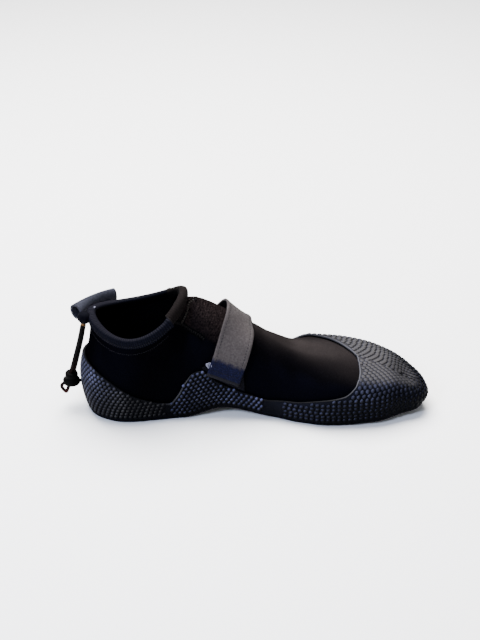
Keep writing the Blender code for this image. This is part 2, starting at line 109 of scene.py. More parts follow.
# Height of the instep's ridge, as a share of the throat's height
Ridge = namedtuple("Ridge", "along height")
RIDGE = (
    Ridge(0.333, 1.000),
    Ridge(0.352, 0.997),
    Ridge(0.370, 0.976),
    Ridge(0.392, 0.938),
    Ridge(0.426, 0.880),
    Ridge(0.483, 0.775),
    Ridge(0.540, 0.660),
    Ridge(0.590, 0.563),
    Ridge(0.640, 0.482),
    Ridge(0.675, 0.450),
    Ridge(0.710, 0.432),
    Ridge(0.770, 0.418),
    Ridge(0.845, 0.384),
    Ridge(0.925, 0.330),
    Ridge(0.980, 0.250),
    Ridge(1.000, 0.228),
)

# Upper edge of the rubber on each side, a share of the wall from base to top edge
Rim = namedtuple("Rim", "along inner outer")
RIM = (
    Rim(0.000, 0.570, 0.570),
    Rim(0.022, 0.560, 0.560),
    Rim(0.054, 0.495, 0.495),
    Rim(0.095, 0.370, 0.370),
    Rim(0.161, 0.200, 0.200),
    Rim(0.220, 0.110, 0.110),
    Rim(0.245, 0.095, 0.095),
    Rim(0.268, 0.155, 0.155),
    Rim(0.293, 0.260, 0.260),
    Rim(0.318, 0.300, 0.300),
    Rim(0.345, 0.285, 0.285),
    Rim(0.390, 0.175, 0.200),
    Rim(0.440, 0.125, 0.150),
    Rim(0.520, 0.110, 0.150),
    Rim(0.600, 0.170, 0.280),
    Rim(0.680, 0.230, 0.520),
    Rim(0.760, 0.300, 0.720),
    Rim(0.800, 0.450, 0.830),
    Rim(0.814, 0.560, 0.875),
    Rim(0.826, 0.670, 0.915),
    Rim(0.834, 0.780, 0.950),
    Rim(0.8385, 0.890, 0.980),
    Rim(0.840, 1.000, 1.000),
    Rim(1.000, 1.000, 1.000),
)

# Columns of the fine meshes between stations, on each side of the shoe
Stop = namedtuple("Stop", "along columns")
STOPS = (
    Stop(0.120, 32),
    Stop(0.250, 20),
    Stop(0.350, 22),
    Stop(0.440, 16),
    Stop(0.760, 40),
    Stop(0.800, 10),
    Stop(0.814, 6),
    Stop(0.826, 6),
    Stop(0.834, 6),
    Stop(0.8385, 5),
    Stop(0.840, 4),
    Stop(0.960, 22),
    Stop(1.000, 14),
)

# Columns and rows of the points among which the nearest place on the wall is looked up
FINDER_COLUMNS = 70
FINDER_ROWS = 80

INNER, OUTER = -1, 1
UP = Vector((0, 0, 1))


def turn_of(along):
    """Angle round the base outline, 0 at the heel to 1 at the toe, where the share of the length is along."""
    return math.acos(1 - 2 * along) / math.pi


def along_of(turn):
    return (1 - math.cos(math.pi * turn)) / 2


THROAT_TURN = turn_of(THROAT_ALONG)


def smooth_column(rows, column):
    """A function of turn through one column of a table, without overshoot between its rows."""
    xs = [turn_of(row.along) for row in rows]
    ys = [getattr(row, column) for row in rows]
    slopes = [(ys[i + 1] - ys[i]) / (xs[i + 1] - xs[i]) for i in range(len(xs) - 1)]
    tangents = [slopes[0]]
    for before, after in zip(slopes, slopes[1:]):
        tangents.append(0 if before * after <= 0 else 2 * before * after / (before + after))
    tangents.append(slopes[-1])

    def value(turn):
        i = max(k for k in range(len(slopes)) if k == 0 or turn >= xs[k])
        width = xs[i + 1] - xs[i]
        u = (turn - xs[i]) / width
        start = (1 + 2 * u) * (1 - u) ** 2 * ys[i] + u * (1 - u) ** 2 * width * tangents[i]
        end = u * u * (3 - 2 * u) * ys[i + 1] - u * u * (1 - u) * width * tangents[i + 1]
        return start + end

    return value


SECTION = {name: smooth_column(SECTIONS, name) for name in Section._fields}
RIDGE_HEIGHT = smooth_column(RIDGE, "height")
RIM_SHARE = {INNER: smooth_column(RIM, "inner"), OUTER: smooth_column(RIM, "outer")}


def unfold(side, turn):
    """Carries a turn past the heel or the toe over to the other side of the foot."""
    if turn < 0:
        return -side, -turn
    if turn > 1:
        return -side, 2 - turn
    return side, turn


def base_point(side, turn):
    """Point of the base line, at the tread's height."""
    side, turn = unfold(side, turn)
    half = SECTION["half"](turn) * BALL_WIDTH
    axis = SECTION["axis"](turn) * BALL_WIDTH
    height = SECTION["rise_in" if side == INNER else "rise_out"](turn)
    return Vector((HEEL_INSET + along_of(turn) * BASE_LENGTH, axis + side * half, height))


def outward(side, turn):
    """Level direction that points away from the foot at a place on the base line."""
    step = 0.002
    ahead = base_point(side, turn + step) - base_point(side, turn - step)
    return Vector((-side * ahead.y, side * ahead.x, 0)).normalized()


def top_point(side, turn):
    """Top edge of the upper's wall: the collar's oval up to the throat, then the instep's ridge."""
    axis = SECTION["crest"](turn) * BALL_WIDTH
    if turn > THROAT_TURN:
        x = base_point(side, turn).x - RIDGE_LEAN
        return Vector((x, axis, RIDGE_HEIGHT(turn) * THROAT_HEIGHT))
    throat = HEEL_INSET + THROAT_ALONG * BASE_LENGTH - RIDGE_LEAN
    angle = math.pi * turn / THROAT_TURN
    share = (1 - math.cos(angle)) / 2
    dip, power = (DIP_INNER, DIP_POWER_INNER) if side == INNER else (DIP_OUTER, DIP_POWER_OUTER)
    height = BACK_HEIGHT + (THROAT_HEIGHT - BACK_HEIGHT) * share**COLLAR_RISE
    height -= dip * max(0, math.sin(angle)) ** power
    x = COLLAR_BACK + (throat - COLLAR_BACK) * share
    return Vector((x, axis + side * COLLAR_HALF * math.sin(angle), height))


@lru_cache(maxsize=None)
def wall_handles(side, turn):
    """The four points that shape the wall's curve from its base to its top edge."""
    side, turn = unfold(side, turn)
    base = base_point(side, turn) + UP * SOLE_THICKNESS
    top = top_point(side, turn)
    height = top.z - base.z
    nose = max(0, (along_of(turn) - NOSE_ALONG) / (1 - NOSE_ALONG))
    level = Vector(((base.x - top.x) * nose, base.y - top.y, 0))
    low = base + outward(side, turn) * SECTION["swell"](turn) + UP * height * SECTION["wall"](turn)
    high = top + level * SECTION["crown"](turn) - UP * height * SECTION["drop"](turn)
    return base, low, high, top


def bezier(handles, t):
    a, b, c, d = handles
    return a * (1 - t) ** 3 + b * 3 * t * (1 - t) ** 2 + c * 3 * t * t * (1 - t) + d * t**3


def wall_normal(side, turn, t):
    """Direction out of the upper's outer face, shared by both sides along the instep's ridge."""
    if t > 0.999 and THROAT_TURN < turn < 1:
        return (wall_normal(side, turn, 0.98) + wall_normal(-side, turn, 0.98)).normalized()
    step = 0.002
    t = min(t, 0.98)
    a, b, c, d = wall_handles(side, turn)
    climb = (b - a) * (1 - t) ** 2 + (c - b) * 2 * t * (1 - t) + (d - c) * t * t
    ahead = bezier(wall_handles(side, turn + step), t) - bezier(wall_handles(side, turn - step), t)
    return climb.cross(ahead).normalized() * side


def wall_point(side, turn, t, offset=0.0):
    """Point of the upper's outer face, t from base to top edge, moved outwards by offset."""
    point = bezier(wall_handles(side, turn), t)
    return point + wall_normal(side, turn, t) * offset if offset else point


def wall_spot(side, turn, t, offset=0.0):
    """Point and normal of the upper's outer face."""
    return wall_point(side, turn, t, offset), wall_normal(side, turn, t)


def point_tree(points):
    """Look-up of the nearest of some points."""
    tree = KDTree(len(points))
    for index, point in enumerate(points):
        tree.insert(point, index)
    tree.balance()
    return tree


def wall_finder(side, start, end, low):
    """Look-up of the nearest point and normal on a side's outer face, from start to end and above a share."""
    spots = []
    for column, row in product(range(FINDER_COLUMNS + 1), range(FINDER_ROWS + 1)):
        turn = start + (end - start) * column / FINDER_COLUMNS
        spots.append(wall_spot(side, turn, low + (1 - low) * row / FINDER_ROWS))
    tree = point_tree([point for point, _ in spots])
    return lambda place: spots[tree.find(place)[1]]


def column_turns():
    """Turns of the mesh's columns from the heel to the toe."""
    turns = [0.0]
    for stop in STOPS:
        start, end = turns[-1], turn_of(stop.along)
        turns += [start + (end - start) * (k + 1) / stop.columns for k in range(stop.columns)]
    return turns


TURNS = column_turns()
SIDE_COLUMNS = len(TURNS) - 1


def column_place(column):
    """Side and turn of a column, counted from the toe along the inner side, round the heel, to the toe."""
    return (INNER if column < SIDE_COLUMNS else OUTER), TURNS[abs(column - SIDE_COLUMNS)]


def smooth_route(route, steps):
    """Points of a smooth curve through a few route points."""
    line = []
    for i in range(len(route) - 1):
        before = route[max(i - 1, 0)]
        start, end = route[i], route[i + 1]
        after = route[min(i + 2, len(route) - 1)]
        for k in range(steps):
            u = k / steps
            line.append(
                start * (1 - 3 * u * u + 2 * u**3)
                + end * (3 * u * u - 2 * u**3)
                + (end - before) / 2 * (u - 2 * u * u + u**3)
                + (after - start) / 2 * (u**3 - u * u)
            )
    line.append(route[-1])
    return line


def smoothstep(low, high, value):
    u = min(1, max(0, (value - low) / (high - low)))
    return u * u * (3 - 2 * u)


# ---------------------------------------------------------------------------------------------------------
# Sizes and colours


def size(name, description, default):
    return FloatProperty(name=name, description=description, default=default, unit="LENGTH", precision=5)


def colour(name, description, default):
    return FloatVectorProperty(
        name=name, description=description, default=default, subtype="COLOR", size=3, min=0, max=1
    )


class BootieSizes(bpy.types.PropertyGroup):
    """Sizes of the details on the bootie."""

    toe_pitch: size("Toe stud pitch", "Distance between studs along a row of the toe cap", 0.0043)
    wing_pitch: size("Wing stud pitch", "Distance between studs along a row of the side wings", 0.0040)
    heel_pitch: size("Heel stud pitch", "Distance between studs along a row of the heel counter", 0.0038)
    stud_height: size("Stud height", "How far the studs stand out of the rubber", 0.0009)
    lip_width: size("Lip width", "Width of the smooth lip along the rubber's upper edge", 0.0013)
    hem_half: size("Hem half height", "Half height of the folded hem at the sides", 0.0036)
    hem_front: size("Front hem half height", "Half height of the thicker hem at the throat", 0.0042)
    gather_pitch: size("Gather pitch", "Distance between the hem's gathers", 0.0017)
    stitch_pitch: size("Stitch pitch", "Distance between stitches of the seams", 0.0017)
    strap_width: size("Strap width", "Width of the instep strap", 0.0260)
    strap_thickness: size("Strap thickness", "Thickness of the instep strap", 0.0018)
    cord_radius: size("Cord radius", "Radius of one strand of the drawcord", 0.00140)


class BootieColours(bpy.types.PropertyGroup):
    """Colours of the bootie's finishes."""

    rubber: colour("Rubber", "Moulded rubber in its hollows", (0.0007, 0.0008, 0.0014))
    rubber_grey: colour("Grey rubber", "Sides of studs that catch a little light", (0.0165, 0.0158, 0.0162))
    # Painted highlight: grey shine on the studs' flanks that face the blue lamp
    rubber_painted_grey_highlight: colour("Shining rubber", "Studs rubbed to a grey shine", (0.0420, 0.0400, 0.0400))
    # Painted highlight: blue shine on rubber and studs that face the blue lamp
    rubber_painted_blue_highlight: colour("Worn rubber", "Moulded rubber where it is rubbed", (0.0640, 0.0710, 0.1480))
    # Painted top light: lighter grey on rubber that faces up
    rubber_painted_top_light: colour("Dusty rubber", "Moulded rubber that faces up", (0.0405, 0.0388, 0.0405))
    # Painted highlight along the lip's edge, where it faces the blue lamp
    lip: colour("Lip", "Smooth lip of the toe cap and the wings", (0.0520, 0.0515, 0.0600))
    neoprene: colour("Neoprene", "Knitted face of the upper", (0.0004, 0.0004, 0.0007))
    neoprene_light: colour("Neoprene flecks", "Lighter loops of the knitted face", (0.0013, 0.0013, 0.0021))
    # Painted light: navy tint on knitted faces that point to the near side
    neoprene_glow: colour("Neoprene side", "Knitted face on the lit side", (0.0012, 0.0013, 0.0031))
    # Painted top light: warm grey on knitted faces toward the key light above the far side
    neoprene_painted_top_light: colour("Faded neoprene", "Knitted face that faces up", (0.0196, 0.0163, 0.0162))
    # Brown of the instep panel; painted shade fades it where the panel faces away from the key light
    panel: colour("Instep panel", "Panel between the hem and the strap", (0.0150, 0.0108, 0.0108))
    hem: colour("Hem", "Folded hem at the sides", (0.0010, 0.0011, 0.0024))
    # Painted top light on the hem's faces that point up
    hem_painted_top_light: colour("Faded hem", "Folded hem where it faces up", (0.0070, 0.0066, 0.0094))
    hem_front: colour("Front hem", "Folded hem at the throat", (0.0075, 0.0058, 0.0058))
    strap: colour("Strap", "Webbing of the instep strap", (0.0470, 0.0410, 0.0420))
    strap_fold: colour("Strap fold", "Turned edge at the strap's hook end", (0.0080, 0.0080, 0.0105))
    strap_end: colour("Strap end", "Pile on the strap's end", (0.0024, 0.0027, 0.0100))
    patch: colour("Patch", "Pile of the base patch", (0.0018, 0.0018, 0.0028))
    loop: colour("Pull loop", "Strip of the pull loop", (0.0270, 0.0280, 0.0400))
    thread: colour("Thread", "Sewing thread", (0.0060, 0.0058, 0.0078))
    # Chain stitches; painted shade darkens them away from the key light
    thread_chain: colour("Chain thread", "Fat chain stitches beside the front hem", (0.0220, 0.0194, 0.0187))
    thread_seam: colour("Seam thread", "Chain stitches of the instep panel's seam", (0.0034, 0.0032, 0.0036))
    thread_light: colour("Light thread", "Thread ends and the strap's frayed tab", (0.1700, 0.1720, 0.2350))
    cord: colour("Cord", "Braid of the drawcord", (0.0012, 0.0010, 0.0010))
    cord_tail: colour("Cord tail", "Sealed end of the drawcord", (0.0600, 0.0140, 0.0100))
    brass: colour("Ferrule", "Metal ferrule on the drawcord", (0.1150, 0.0620, 0.0260))
    end_piece: colour("End piece", "Bell-shaped end piece of the drawcord", (0.0006, 0.0006, 0.0006))
    insole: colour("Insole", "Cloth face of the insole", (0.0040, 0.0040, 0.0050))
    floor: colour("Floor", "Floor under the bootie", (0.86, 0.86, 0.87))


# ---------------------------------------------------------------------------------------------------------
# Shader nodes


class NodeMaker:
    """Adds nodes to one tree; an input is given as a value or as the output that feeds it."""

    def __init__(self, tree):
        self.tree = tree

    def node(self, kind, inputs=None, **settings):
        made = self.tree.nodes.new(kind)
        for name, value in settings.items():
            setattr(made, name, value)
        for name, value in (inputs or {}).items():
            self.feed(made.inputs[name], value)
        return made

    def feed(self, socket, value):
        if isinstance(value, bpy.types.NodeSocket):
            self.tree.links.new(value, socket)
        else:
            socket.default_value = value

    def math(self, operation, first, second=0.0, clamp=False):
        made = self.node("ShaderNodeMath", {0: first, 1: second}, operation=operation, use_clamp=clamp)
        return made.outputs[0]

    def times(self, first, *others):
        """Product of two or more values."""
        for other in others:
            first = self.math("MULTIPLY", first, other)
        return first

    def plus(self, first, second):
        return self.math("ADD", first, second)

    def blend(self, share, first, second):
        """Colour between two colours."""
        made = self.node("ShaderNodeMix", {0: share}, data_type="RGBA")
        for socket, value in ((made.inputs[6], first), (made.inputs[7], second)):
            self.feed(socket, value if isinstance(value, bpy.types.NodeSocket) else (*value, 1.0))
        return made.outputs[2]

    def spread(self, value, low, high, to_low=0.0, to_high=1.0):
        """Value between low and high, stretched to a new range with soft ends."""
        made = self.node(
            "ShaderNodeMapRange",
            {"Value": value, "From Min": low, "From Max": high, "To Min": to_low, "To Max": to_high},
            interpolation_type="SMOOTHSTEP",
        )
        return made.outputs["Result"]

    def noise(self, place, scale, detail=3.0, rough=0.55):
        made = self.node(
            "ShaderNodeTexNoise", {"Vector": place, "Scale": scale, "Detail": detail, "Roughness": rough}
        )
        return made.outputs["Fac"]

    def object_place(self):
        return self.node("ShaderNodeTexCoord").outputs["Object"]

    def uv_place(self):
        return self.node("ShaderNodeTexCoord").outputs["UV"]

    def attribute(self, name):
        return self.node("ShaderNodeAttribute", attribute_name=name).outputs["Fac"]

    def bump(self, height, distance, strength):
        made = self.node("ShaderNodeBump", {"Height": height, "Distance": distance, "Strength": strength})
        return made.outputs["Normal"]


def new_group(name, inputs, outputs):
    """Empty shader node group, with its maker, input node and a function that feeds its outputs."""
    tree = bpy.data.node_groups.new(name, "ShaderNodeTree")
    for label, kind, default in inputs:
        socket = tree.interface.new_socket(name=label, in_out="INPUT", socket_type=kind)
        if default is not None:
            socket.default_value = default
    for label, kind in outputs:
        tree.interface.new_socket(name=label, in_out="OUTPUT", socket_type=kind)
    maker = NodeMaker(tree)
    source = maker.node("NodeGroupInput")
    sink = maker.node("NodeGroupOutput")

    def put_out(**values):
        for label, value in values.items():
            maker.feed(sink.inputs[label], value)

    return tree, maker, source.outputs, put_out


FLOAT, VECTOR = "NodeSocketFloat", "NodeSocketVector"

# Ways that faces point for the painted light and shade: toward the blue lamp, toward the near side, toward
# the key light above the far side, and up for the painted top light
LIT_SIDE = Vector((-0.50, -0.45, 0.74))
NEAR_SIDE = Vector((-0.30, -0.85, 0.43))
KEY_LIGHT_SIDE = Vector((0.22, 0.55, 0.80))
TOP_SIDE = Vector((-0.10, 0.0, 0.995))

RIB_PITCH = 0.0021
SKIN_DEPTH = 0.0001
YARN_DEPTH = 0.0001


def knit_group():
    """Fine knitted face: loops a millimetre apart, uneven in height and in colour."""
    tree, maker, given, put_out = new_group(
        "Knit", [("Scale", FLOAT, 1000.0)], [("Height", FLOAT), ("Flecks", FLOAT)]
    )
    place = maker.object_place()
    loops = maker.node("ShaderNodeTexVoronoi", {"Vector": place, "Scale": given["Scale"]}).outputs["Distance"]
    flecks = maker.noise(place, given["Scale"], 2.0, 0.6)
    cloudy = maker.noise(place, 60.0, 3.0)
    height = maker.plus(maker.times(loops, -0.7), flecks)
    patchy = maker.times(maker.spread(flecks, 0.42, 0.72), maker.spread(cloudy, 0.2, 0.75, 0.45, 1.0))
    put_out(Height=height, Flecks=patchy)
    return tree


def weave_group():
    """Plain weave on a UV map in metres: threads over and under, worn unevenly."""
    tree, maker, given, put_out = new_group(
        "Weave", [("Pitch", FLOAT, 0.0012)], [("Height", FLOAT), ("Wear", FLOAT)]
    )
    place = maker.node("ShaderNodeSeparateXYZ", {0: maker.uv_place()}).outputs
    turns = maker.math("DIVIDE", 2 * math.pi, given["Pitch"])
    warp = maker.math("SINE", maker.times(place["X"], turns))
    weft = maker.math("SINE", maker.times(place["Y"], turns))
    height = maker.times(maker.times(warp, weft), 0.5)
    fray = maker.noise(maker.object_place(), 700.0, 3.0)
    cloudy = maker.noise(maker.object_place(), 90.0, 4.0)
    put_out(
        Height=maker.plus(height, fray),
        Wear=maker.times(maker.spread(fray, 0.35, 0.7), maker.spread(cloudy, 0.3, 0.65, 0.4, 1.0)),
    )
    return tree


def rubbed_group():
    """Moulded skin: fine matt texture, with rubbed and dusty places."""
    tree, maker, given, put_out = new_group(
        "Rubbed", [("Dust", FLOAT, 0.5)], [("Height", FLOAT), ("Rubbed", FLOAT), ("Roughness", FLOAT)]
    )
    place = maker.object_place()
    fine = maker.noise(place, 2200.0, 2.0)
    smears = maker.noise(place, 75.0, 5.0, 0.62)
    specks = maker.spread(maker.noise(place, 900.0, 2.0), 0.55, 0.75)
    rubbed = maker.plus(maker.spread(smears, 0.40, 0.72, 0.0, 0.8), maker.times(specks, 0.35))
    rubbed = maker.math("MULTIPLY", rubbed, given["Dust"], clamp=True)
    put_out(Height=fine, Rubbed=rubbed, Roughness=maker.spread(smears, 0.25, 0.75, 0.42, 0.62))
    return tree


def facing_group():
    """How far a surface faces one way, broken by cloudy patches: the mask of the painted light and shade."""
    tree, maker, given, put_out = new_group(
        "Facing",
        [("Toward", VECTOR, (0.0, 0.0, 1.0)), ("From", FLOAT, 0.5), ("To", FLOAT, 0.95)],
        [("Mask", FLOAT)],
    )
    normal = maker.node("ShaderNodeNewGeometry").outputs["Normal"]
    level = maker.node("ShaderNodeVectorMath", {0: normal, 1: given["Toward"]}, operation="DOT_PRODUCT")
    cloudy = maker.noise(maker.object_place(), 45.0, 4.0)
    facing = maker.spread(level.outputs["Value"], given["From"], given["To"])
    put_out(Mask=maker.times(facing, maker.spread(cloudy, 0.25, 0.7, 0.75, 1.0)))
    return tree


def braid_group():
    """Braid on a UV map in metres: two sets of yarns that cross."""
    tree, maker, given, put_out = new_group(
        "Braid", [("Pitch", FLOAT, 0.0016), ("Round", FLOAT, 0.0072)], [("Height", FLOAT), ("Yarn", FLOAT)]
    )
    place = maker.node("ShaderNodeSeparateXYZ", {0: maker.uv_place()}).outputs
    along = maker.times(place["X"], maker.math("DIVIDE", 2 * math.pi, given["Pitch"]))
    about = maker.times(place["Y"], maker.math("DIVIDE", 8 * math.pi, given["Round"]))
    left = maker.math("SINE", maker.plus(along, about))
    right = maker.math("SINE", maker.math("SUBTRACT", along, about))
    yarn = maker.math("MAXIMUM", left, right)
    put_out(Height=yarn, Yarn=maker.spread(yarn, 0.1, 1.0))
    return tree


def shade(tint, share):
    """Colour made darker or lighter."""
    return [part * share for part in tint]


class Finishes:
    """Materials of the bootie, each made once from the shared node groups."""

    def __init__(self, colours):
        self.colours = colours
        self.groups = {
            "knit": knit_group(),
            "weave": weave_group(),
            "rubbed": rubbed_group(),
            "facing": facing_group(),
            "braid": braid_group(),
        }
        self.made = {}

    def get(self, name):
        if name not in self.made:
            self.made[name] = getattr(self, name)()
        return self.made[name]

    def start(self, name, roughness, specular=0.5, metallic=0.0):
        """New material with plain values on its shader: its node maker and the function that ends it.

        That function feeds the sockets that vary and returns the material.
        """
        made = bpy.data.materials.new(name)
        made.use_nodes = True
        maker = NodeMaker(made.node_tree)
        shader = made.node_tree.nodes["Principled BSDF"]
        plain = {"Roughness": roughness, "Specular IOR Level": specular, "Metallic": metallic}
        for socket, value in plain.items():
            shader.inputs[socket].default_value = value

        def end(tint, normal=None, rough=None):
            for socket, value in (("Base Color", tint), ("Normal", normal), ("Roughness", rough)):
                if value is not None:
                    maker.feed(shader.inputs[socket], value)
            return made

        return maker, end

    def use(self, maker, group, **inputs):
        return maker.node("ShaderNodeGroup", inputs, node_tree=self.groups[group]).outputs

    def facing(self, maker, toward, low, high):
        return self.use(maker, "facing", Toward=toward, From=low, To=high)["Mask"]

    def rubber(self):
        maker, end = self.start("moulded_rubber", 0.5, 0.015)
        skin = self.use(maker, "rubbed", Dust=0.5)
        # Painted light: a faint blue highlight toward the blue lamp, and lighter grey on faces that point up
        lit = maker.times(self.facing(maker, LIT_SIDE, 0.3, 1.0), 0.06)
        tint = maker.blend(lit, self.colours.rubber, self.colours.rubber_painted_blue_highlight)
        top_light = maker.times(self.facing(maker, TOP_SIDE, 0.76, 1.0), 0.55)
        tint = maker.blend(top_light, tint, self.colours.rubber_painted_top_light)
        return end(tint, maker.bump(skin["Height"], SKIN_DEPTH, 0.5), skin["Roughness"])

    def studs(self):
        maker, end = self.start("rubber_studs", 0.45, 0.012)
        skin = self.use(maker, "rubbed", Dust=1.0)
        # Painted light: flanks toward the blue lamp turn grey and then take a grey or blue painted highlight,
        # and studs that face up take the painted top light; the rubbed noise and the sheen mark set how
        # strong these are
        rubbed_and_sheen = maker.times(maker.spread(skin["Rubbed"], 0.0, 0.8, 0.45, 1.0), maker.attribute("sheen"))
        grey = maker.times(self.facing(maker, LIT_SIDE, 0.22, 0.85), rubbed_and_sheen)
        tint = maker.blend(grey, self.colours.rubber, self.colours.rubber_grey)
        lit = maker.times(self.facing(maker, LIT_SIDE, 0.52, 1.0), rubbed_and_sheen)
        shine = maker.blend(maker.attribute("blue"), self.colours.rubber_painted_grey_highlight, self.colours.rubber_painted_blue_highlight)
        tint = maker.blend(lit, tint, shine)
        level = maker.spread(maker.attribute("level"), 0.74, 0.98)
        top_light = maker.times(level, self.facing(maker, UP, 0.62, 0.95))
        tint = maker.blend(top_light, tint, self.colours.rubber_painted_top_light)
        return end(tint, maker.bump(skin["Height"], SKIN_DEPTH, 0.4), skin["Roughness"])

    def lip(self):
        maker, end = self.start("rubber_edge", 0.45, 0.02)
        skin = self.use(maker, "rubbed", Dust=0.6)
        # Painted highlight along the lip toward the blue lamp, as strong as its light mark; the rubbed grey
        # under it is wear
        light = maker.times(maker.attribute("light"), self.facing(maker, LIT_SIDE, -0.1, 0.8))
        tint = maker.blend(skin["Rubbed"], self.colours.rubber, shade(self.colours.rubber_grey, 0.6))
        tint = maker.blend(light, tint, self.colours.lip)
        return end(tint, maker.bump(skin["Height"], SKIN_DEPTH, 0.4), skin["Roughness"])

    def tread(self):
        maker, end = self.start("tread_rubber", 0.6, 0.02)
        skin = self.use(maker, "rubbed", Dust=0.35)
        lugs = maker.node(
            "ShaderNodeTexVoronoi",
            {"Vector": maker.object_place(), "Scale": 170.0},
            feature="DISTANCE_TO_EDGE",
        )
        grooves = maker.spread(lugs.outputs["Distance"], 0.03, 0.16)
        height = maker.plus(maker.times(skin["Height"], 0.08), grooves)
        tint = maker.blend(skin["Rubbed"], (0.0006, 0.0006, 0.0008), self.colours.rubber)
        return end(tint, maker.bump(height, 0.0012, 0.8), skin["Roughness"])

    def neoprene(self):
        maker, end = self.start("neoprene", 0.85, 0.0)
        colours = self.colours
        knit = self.use(maker, "knit", Scale=1700.0)
        panel = maker.attribute("panel")
        bare = maker.math("SUBTRACT", 1.0, panel)
        # Painted shade: the panel's brown fades where it faces away from the key light
        shown = maker.times(self.facing(maker, KEY_LIGHT_SIDE, -0.5, 0.3), panel)
        grain = maker.spread(maker.noise(maker.object_place(), 800.0, 2.0), 0.38, 0.62)
        worn = maker.blend(grain, shade(colours.panel, 0.45), shade(colours.panel, 1.7))
        light = maker.blend(shown, colours.neoprene_light, worn)
        dark = maker.blend(maker.times(shown, 0.25), colours.neoprene, worn)
        tint = maker.blend(knit["Flecks"], dark, light)
        # Painted light: navy tint on faces toward the near side, off the panel
        lit = maker.times(self.facing(maker, NEAR_SIDE, 0.70, 1.0), 0.50, bare)
        tint = maker.blend(lit, tint, colours.neoprene_glow)
        flecked = maker.spread(knit["Flecks"], 0.0, 1.0, 0.7, 1.0)
        # Painted top light: warm grey toward the key light, as strong as the crest mark, off the panel
        top_light = self.facing(maker, KEY_LIGHT_SIDE, -0.10, 0.90)
        top_light = maker.times(top_light, flecked, maker.attribute("crest"), bare)
        tint = maker.blend(top_light, tint, colours.neoprene_painted_top_light)
        ribs = maker.math("SINE", maker.times(maker.attribute("hem_distance"), 2 * math.pi / RIB_PITCH))
        height = maker.plus(knit["Height"], maker.times(ribs, panel, 0.35))
        rough = maker.spread(knit["Flecks"], 0.0, 1.0, 0.92, 0.72)
        return end(tint, maker.bump(height, 0.00035, 0.9), rough)

    def hem(self):
        maker, end = self.start("hem_neoprene", 0.85, 0.02)
        colours = self.colours
        knit = self.use(maker, "knit", Scale=1100.0)
        front, gather = maker.attribute("front"), maker.attribute("gather")
        dark = maker.blend(front, colours.hem, shade(colours.hem_front, 0.3))
        light = maker.blend(front, shade(colours.hem, 3.0), colours.hem_front)
        # Painted light and shade of the gathers: lighter where they bulge, darker in their folds
        folds = maker.times(maker.spread(knit["Flecks"], 0.0, 1.0, 0.5, 1.0), gather)
        tint = maker.blend(folds, dark, light)
        # Painted top light on faces that point up, most on the gathers' bulges
        top_light = maker.times(self.facing(maker, UP, 0.55, 1.0), maker.spread(gather, 0.0, 1.0, 0.1, 1.0))
        tint = maker.blend(top_light, tint, maker.blend(front, colours.hem_painted_top_light, colours.hem_front))
        # Painted shade on the hem's inner face
        tint = maker.blend(maker.attribute("inner"), tint, (0.0003, 0.0003, 0.0005))
        rough = maker.spread(knit["Flecks"], 0.0, 1.0, 0.9, 0.7)
        return end(tint, maker.bump(knit["Height"], 0.0003, 0.8), rough)

    def webbing(self):
        maker, end = self.start("strap_webbing", 0.85, 0.04)
        colours = self.colours
        weave = self.use(maker, "weave", Pitch=0.0011)
        knit = self.use(maker, "knit", Scale=1300.0)
        along = maker.node("ShaderNodeSeparateXYZ", {0: maker.uv_place()}).outputs["X"]
        fray = maker.times(maker.noise(maker.object_place(), 420.0, 3.0), 0.006)
        pile = maker.spread(maker.plus(along, fray), -0.0432, -0.0385, 1.0, 0.0)
        woven = maker.blend(weave["Wear"], shade(colours.strap, 0.72), colours.strap)
        fuzzy = maker.blend(knit["Flecks"], colours.strap_end, shade(colours.strap_end, 3.2))
        tip = strap_reach(0)
        turned = maker.spread(along, tip + 0.0022, tip + 0.0030, 1.0, 0.0)
        tint = maker.blend(turned, maker.blend(pile, woven, fuzzy), colours.strap_fold)
        height = maker.plus(maker.times(knit["Height"], pile), weave["Height"])
        rough = maker.spread(weave["Wear"], 0.0, 1.0, 0.9, 0.7)
        return end(tint, maker.bump(height, 0.00035, 0.8), rough)

    def loop_strip(self):
        maker, end = self.start("loop_strip", 0.8, 0.06)
        weave = self.use(maker, "weave", Pitch=0.0009)
        tint = maker.blend(weave["Wear"], shade(self.colours.loop, 0.6), self.colours.loop)
        return end(tint, maker.bump(weave["Height"], 0.0003, 0.7))

    def knitted(self, name, roughness, specular, scale, dark, light, depth, strength):
        """Plain cloth whose loops vary between two colours."""
        maker, end = self.start(name, roughness, specular)
        knit = self.use(maker, "knit", Scale=scale)
        return end(maker.blend(knit["Flecks"], dark, light), maker.bump(knit["Height"], depth, strength))

    def lining(self):
        dark, light = (0.0006, 0.0006, 0.0009), (0.0020, 0.0020, 0.0026)
        return self.knitted("lining", 0.9, 0.0, 700.0, dark, light, 0.0002, 0.6)

    def pile(self):
        patch = self.colours.patch
        return self.knitted("patch_pile", 0.95, 0.03, 1500.0, patch, shade(patch, 4.0), 0.0005, 1.0)

    def insole(self):
        cloth = self.colours.insole
        return self.knitted("insole_cloth", 0.9, 0.01, 800.0, cloth, shade(cloth, 2.0), 0.0003, 0.7)

    def yarn(self, name, tint, dark, specular, scale):
        """Thread whose fibres vary down to a darker share of its colour."""
        maker, end = self.start(name, 0.7, specular)
        fibres = maker.noise(maker.object_place(), scale, 2.0)
        return end(maker.blend(fibres, shade(tint, dark), tint), maker.bump(fibres, YARN_DEPTH, 0.7))

    def thread(self):
        return self.yarn("sewing_thread", self.colours.thread, 0.45, 0.05, 1800.0)

    def seam_thread(self):
        return self.yarn("seam_thread", self.colours.thread_seam, 0.4, 0.01, 1800.0)

    def light_thread(self):
        return self.yarn("light_thread", self.colours.thread_light, 0.35, 0.2, 2400.0)

    def chain_thread(self):
        maker, end = self.start("chain_thread", 0.8, 0.02)
        fibres = maker.noise(maker.object_place(), 1500.0, 2.0)
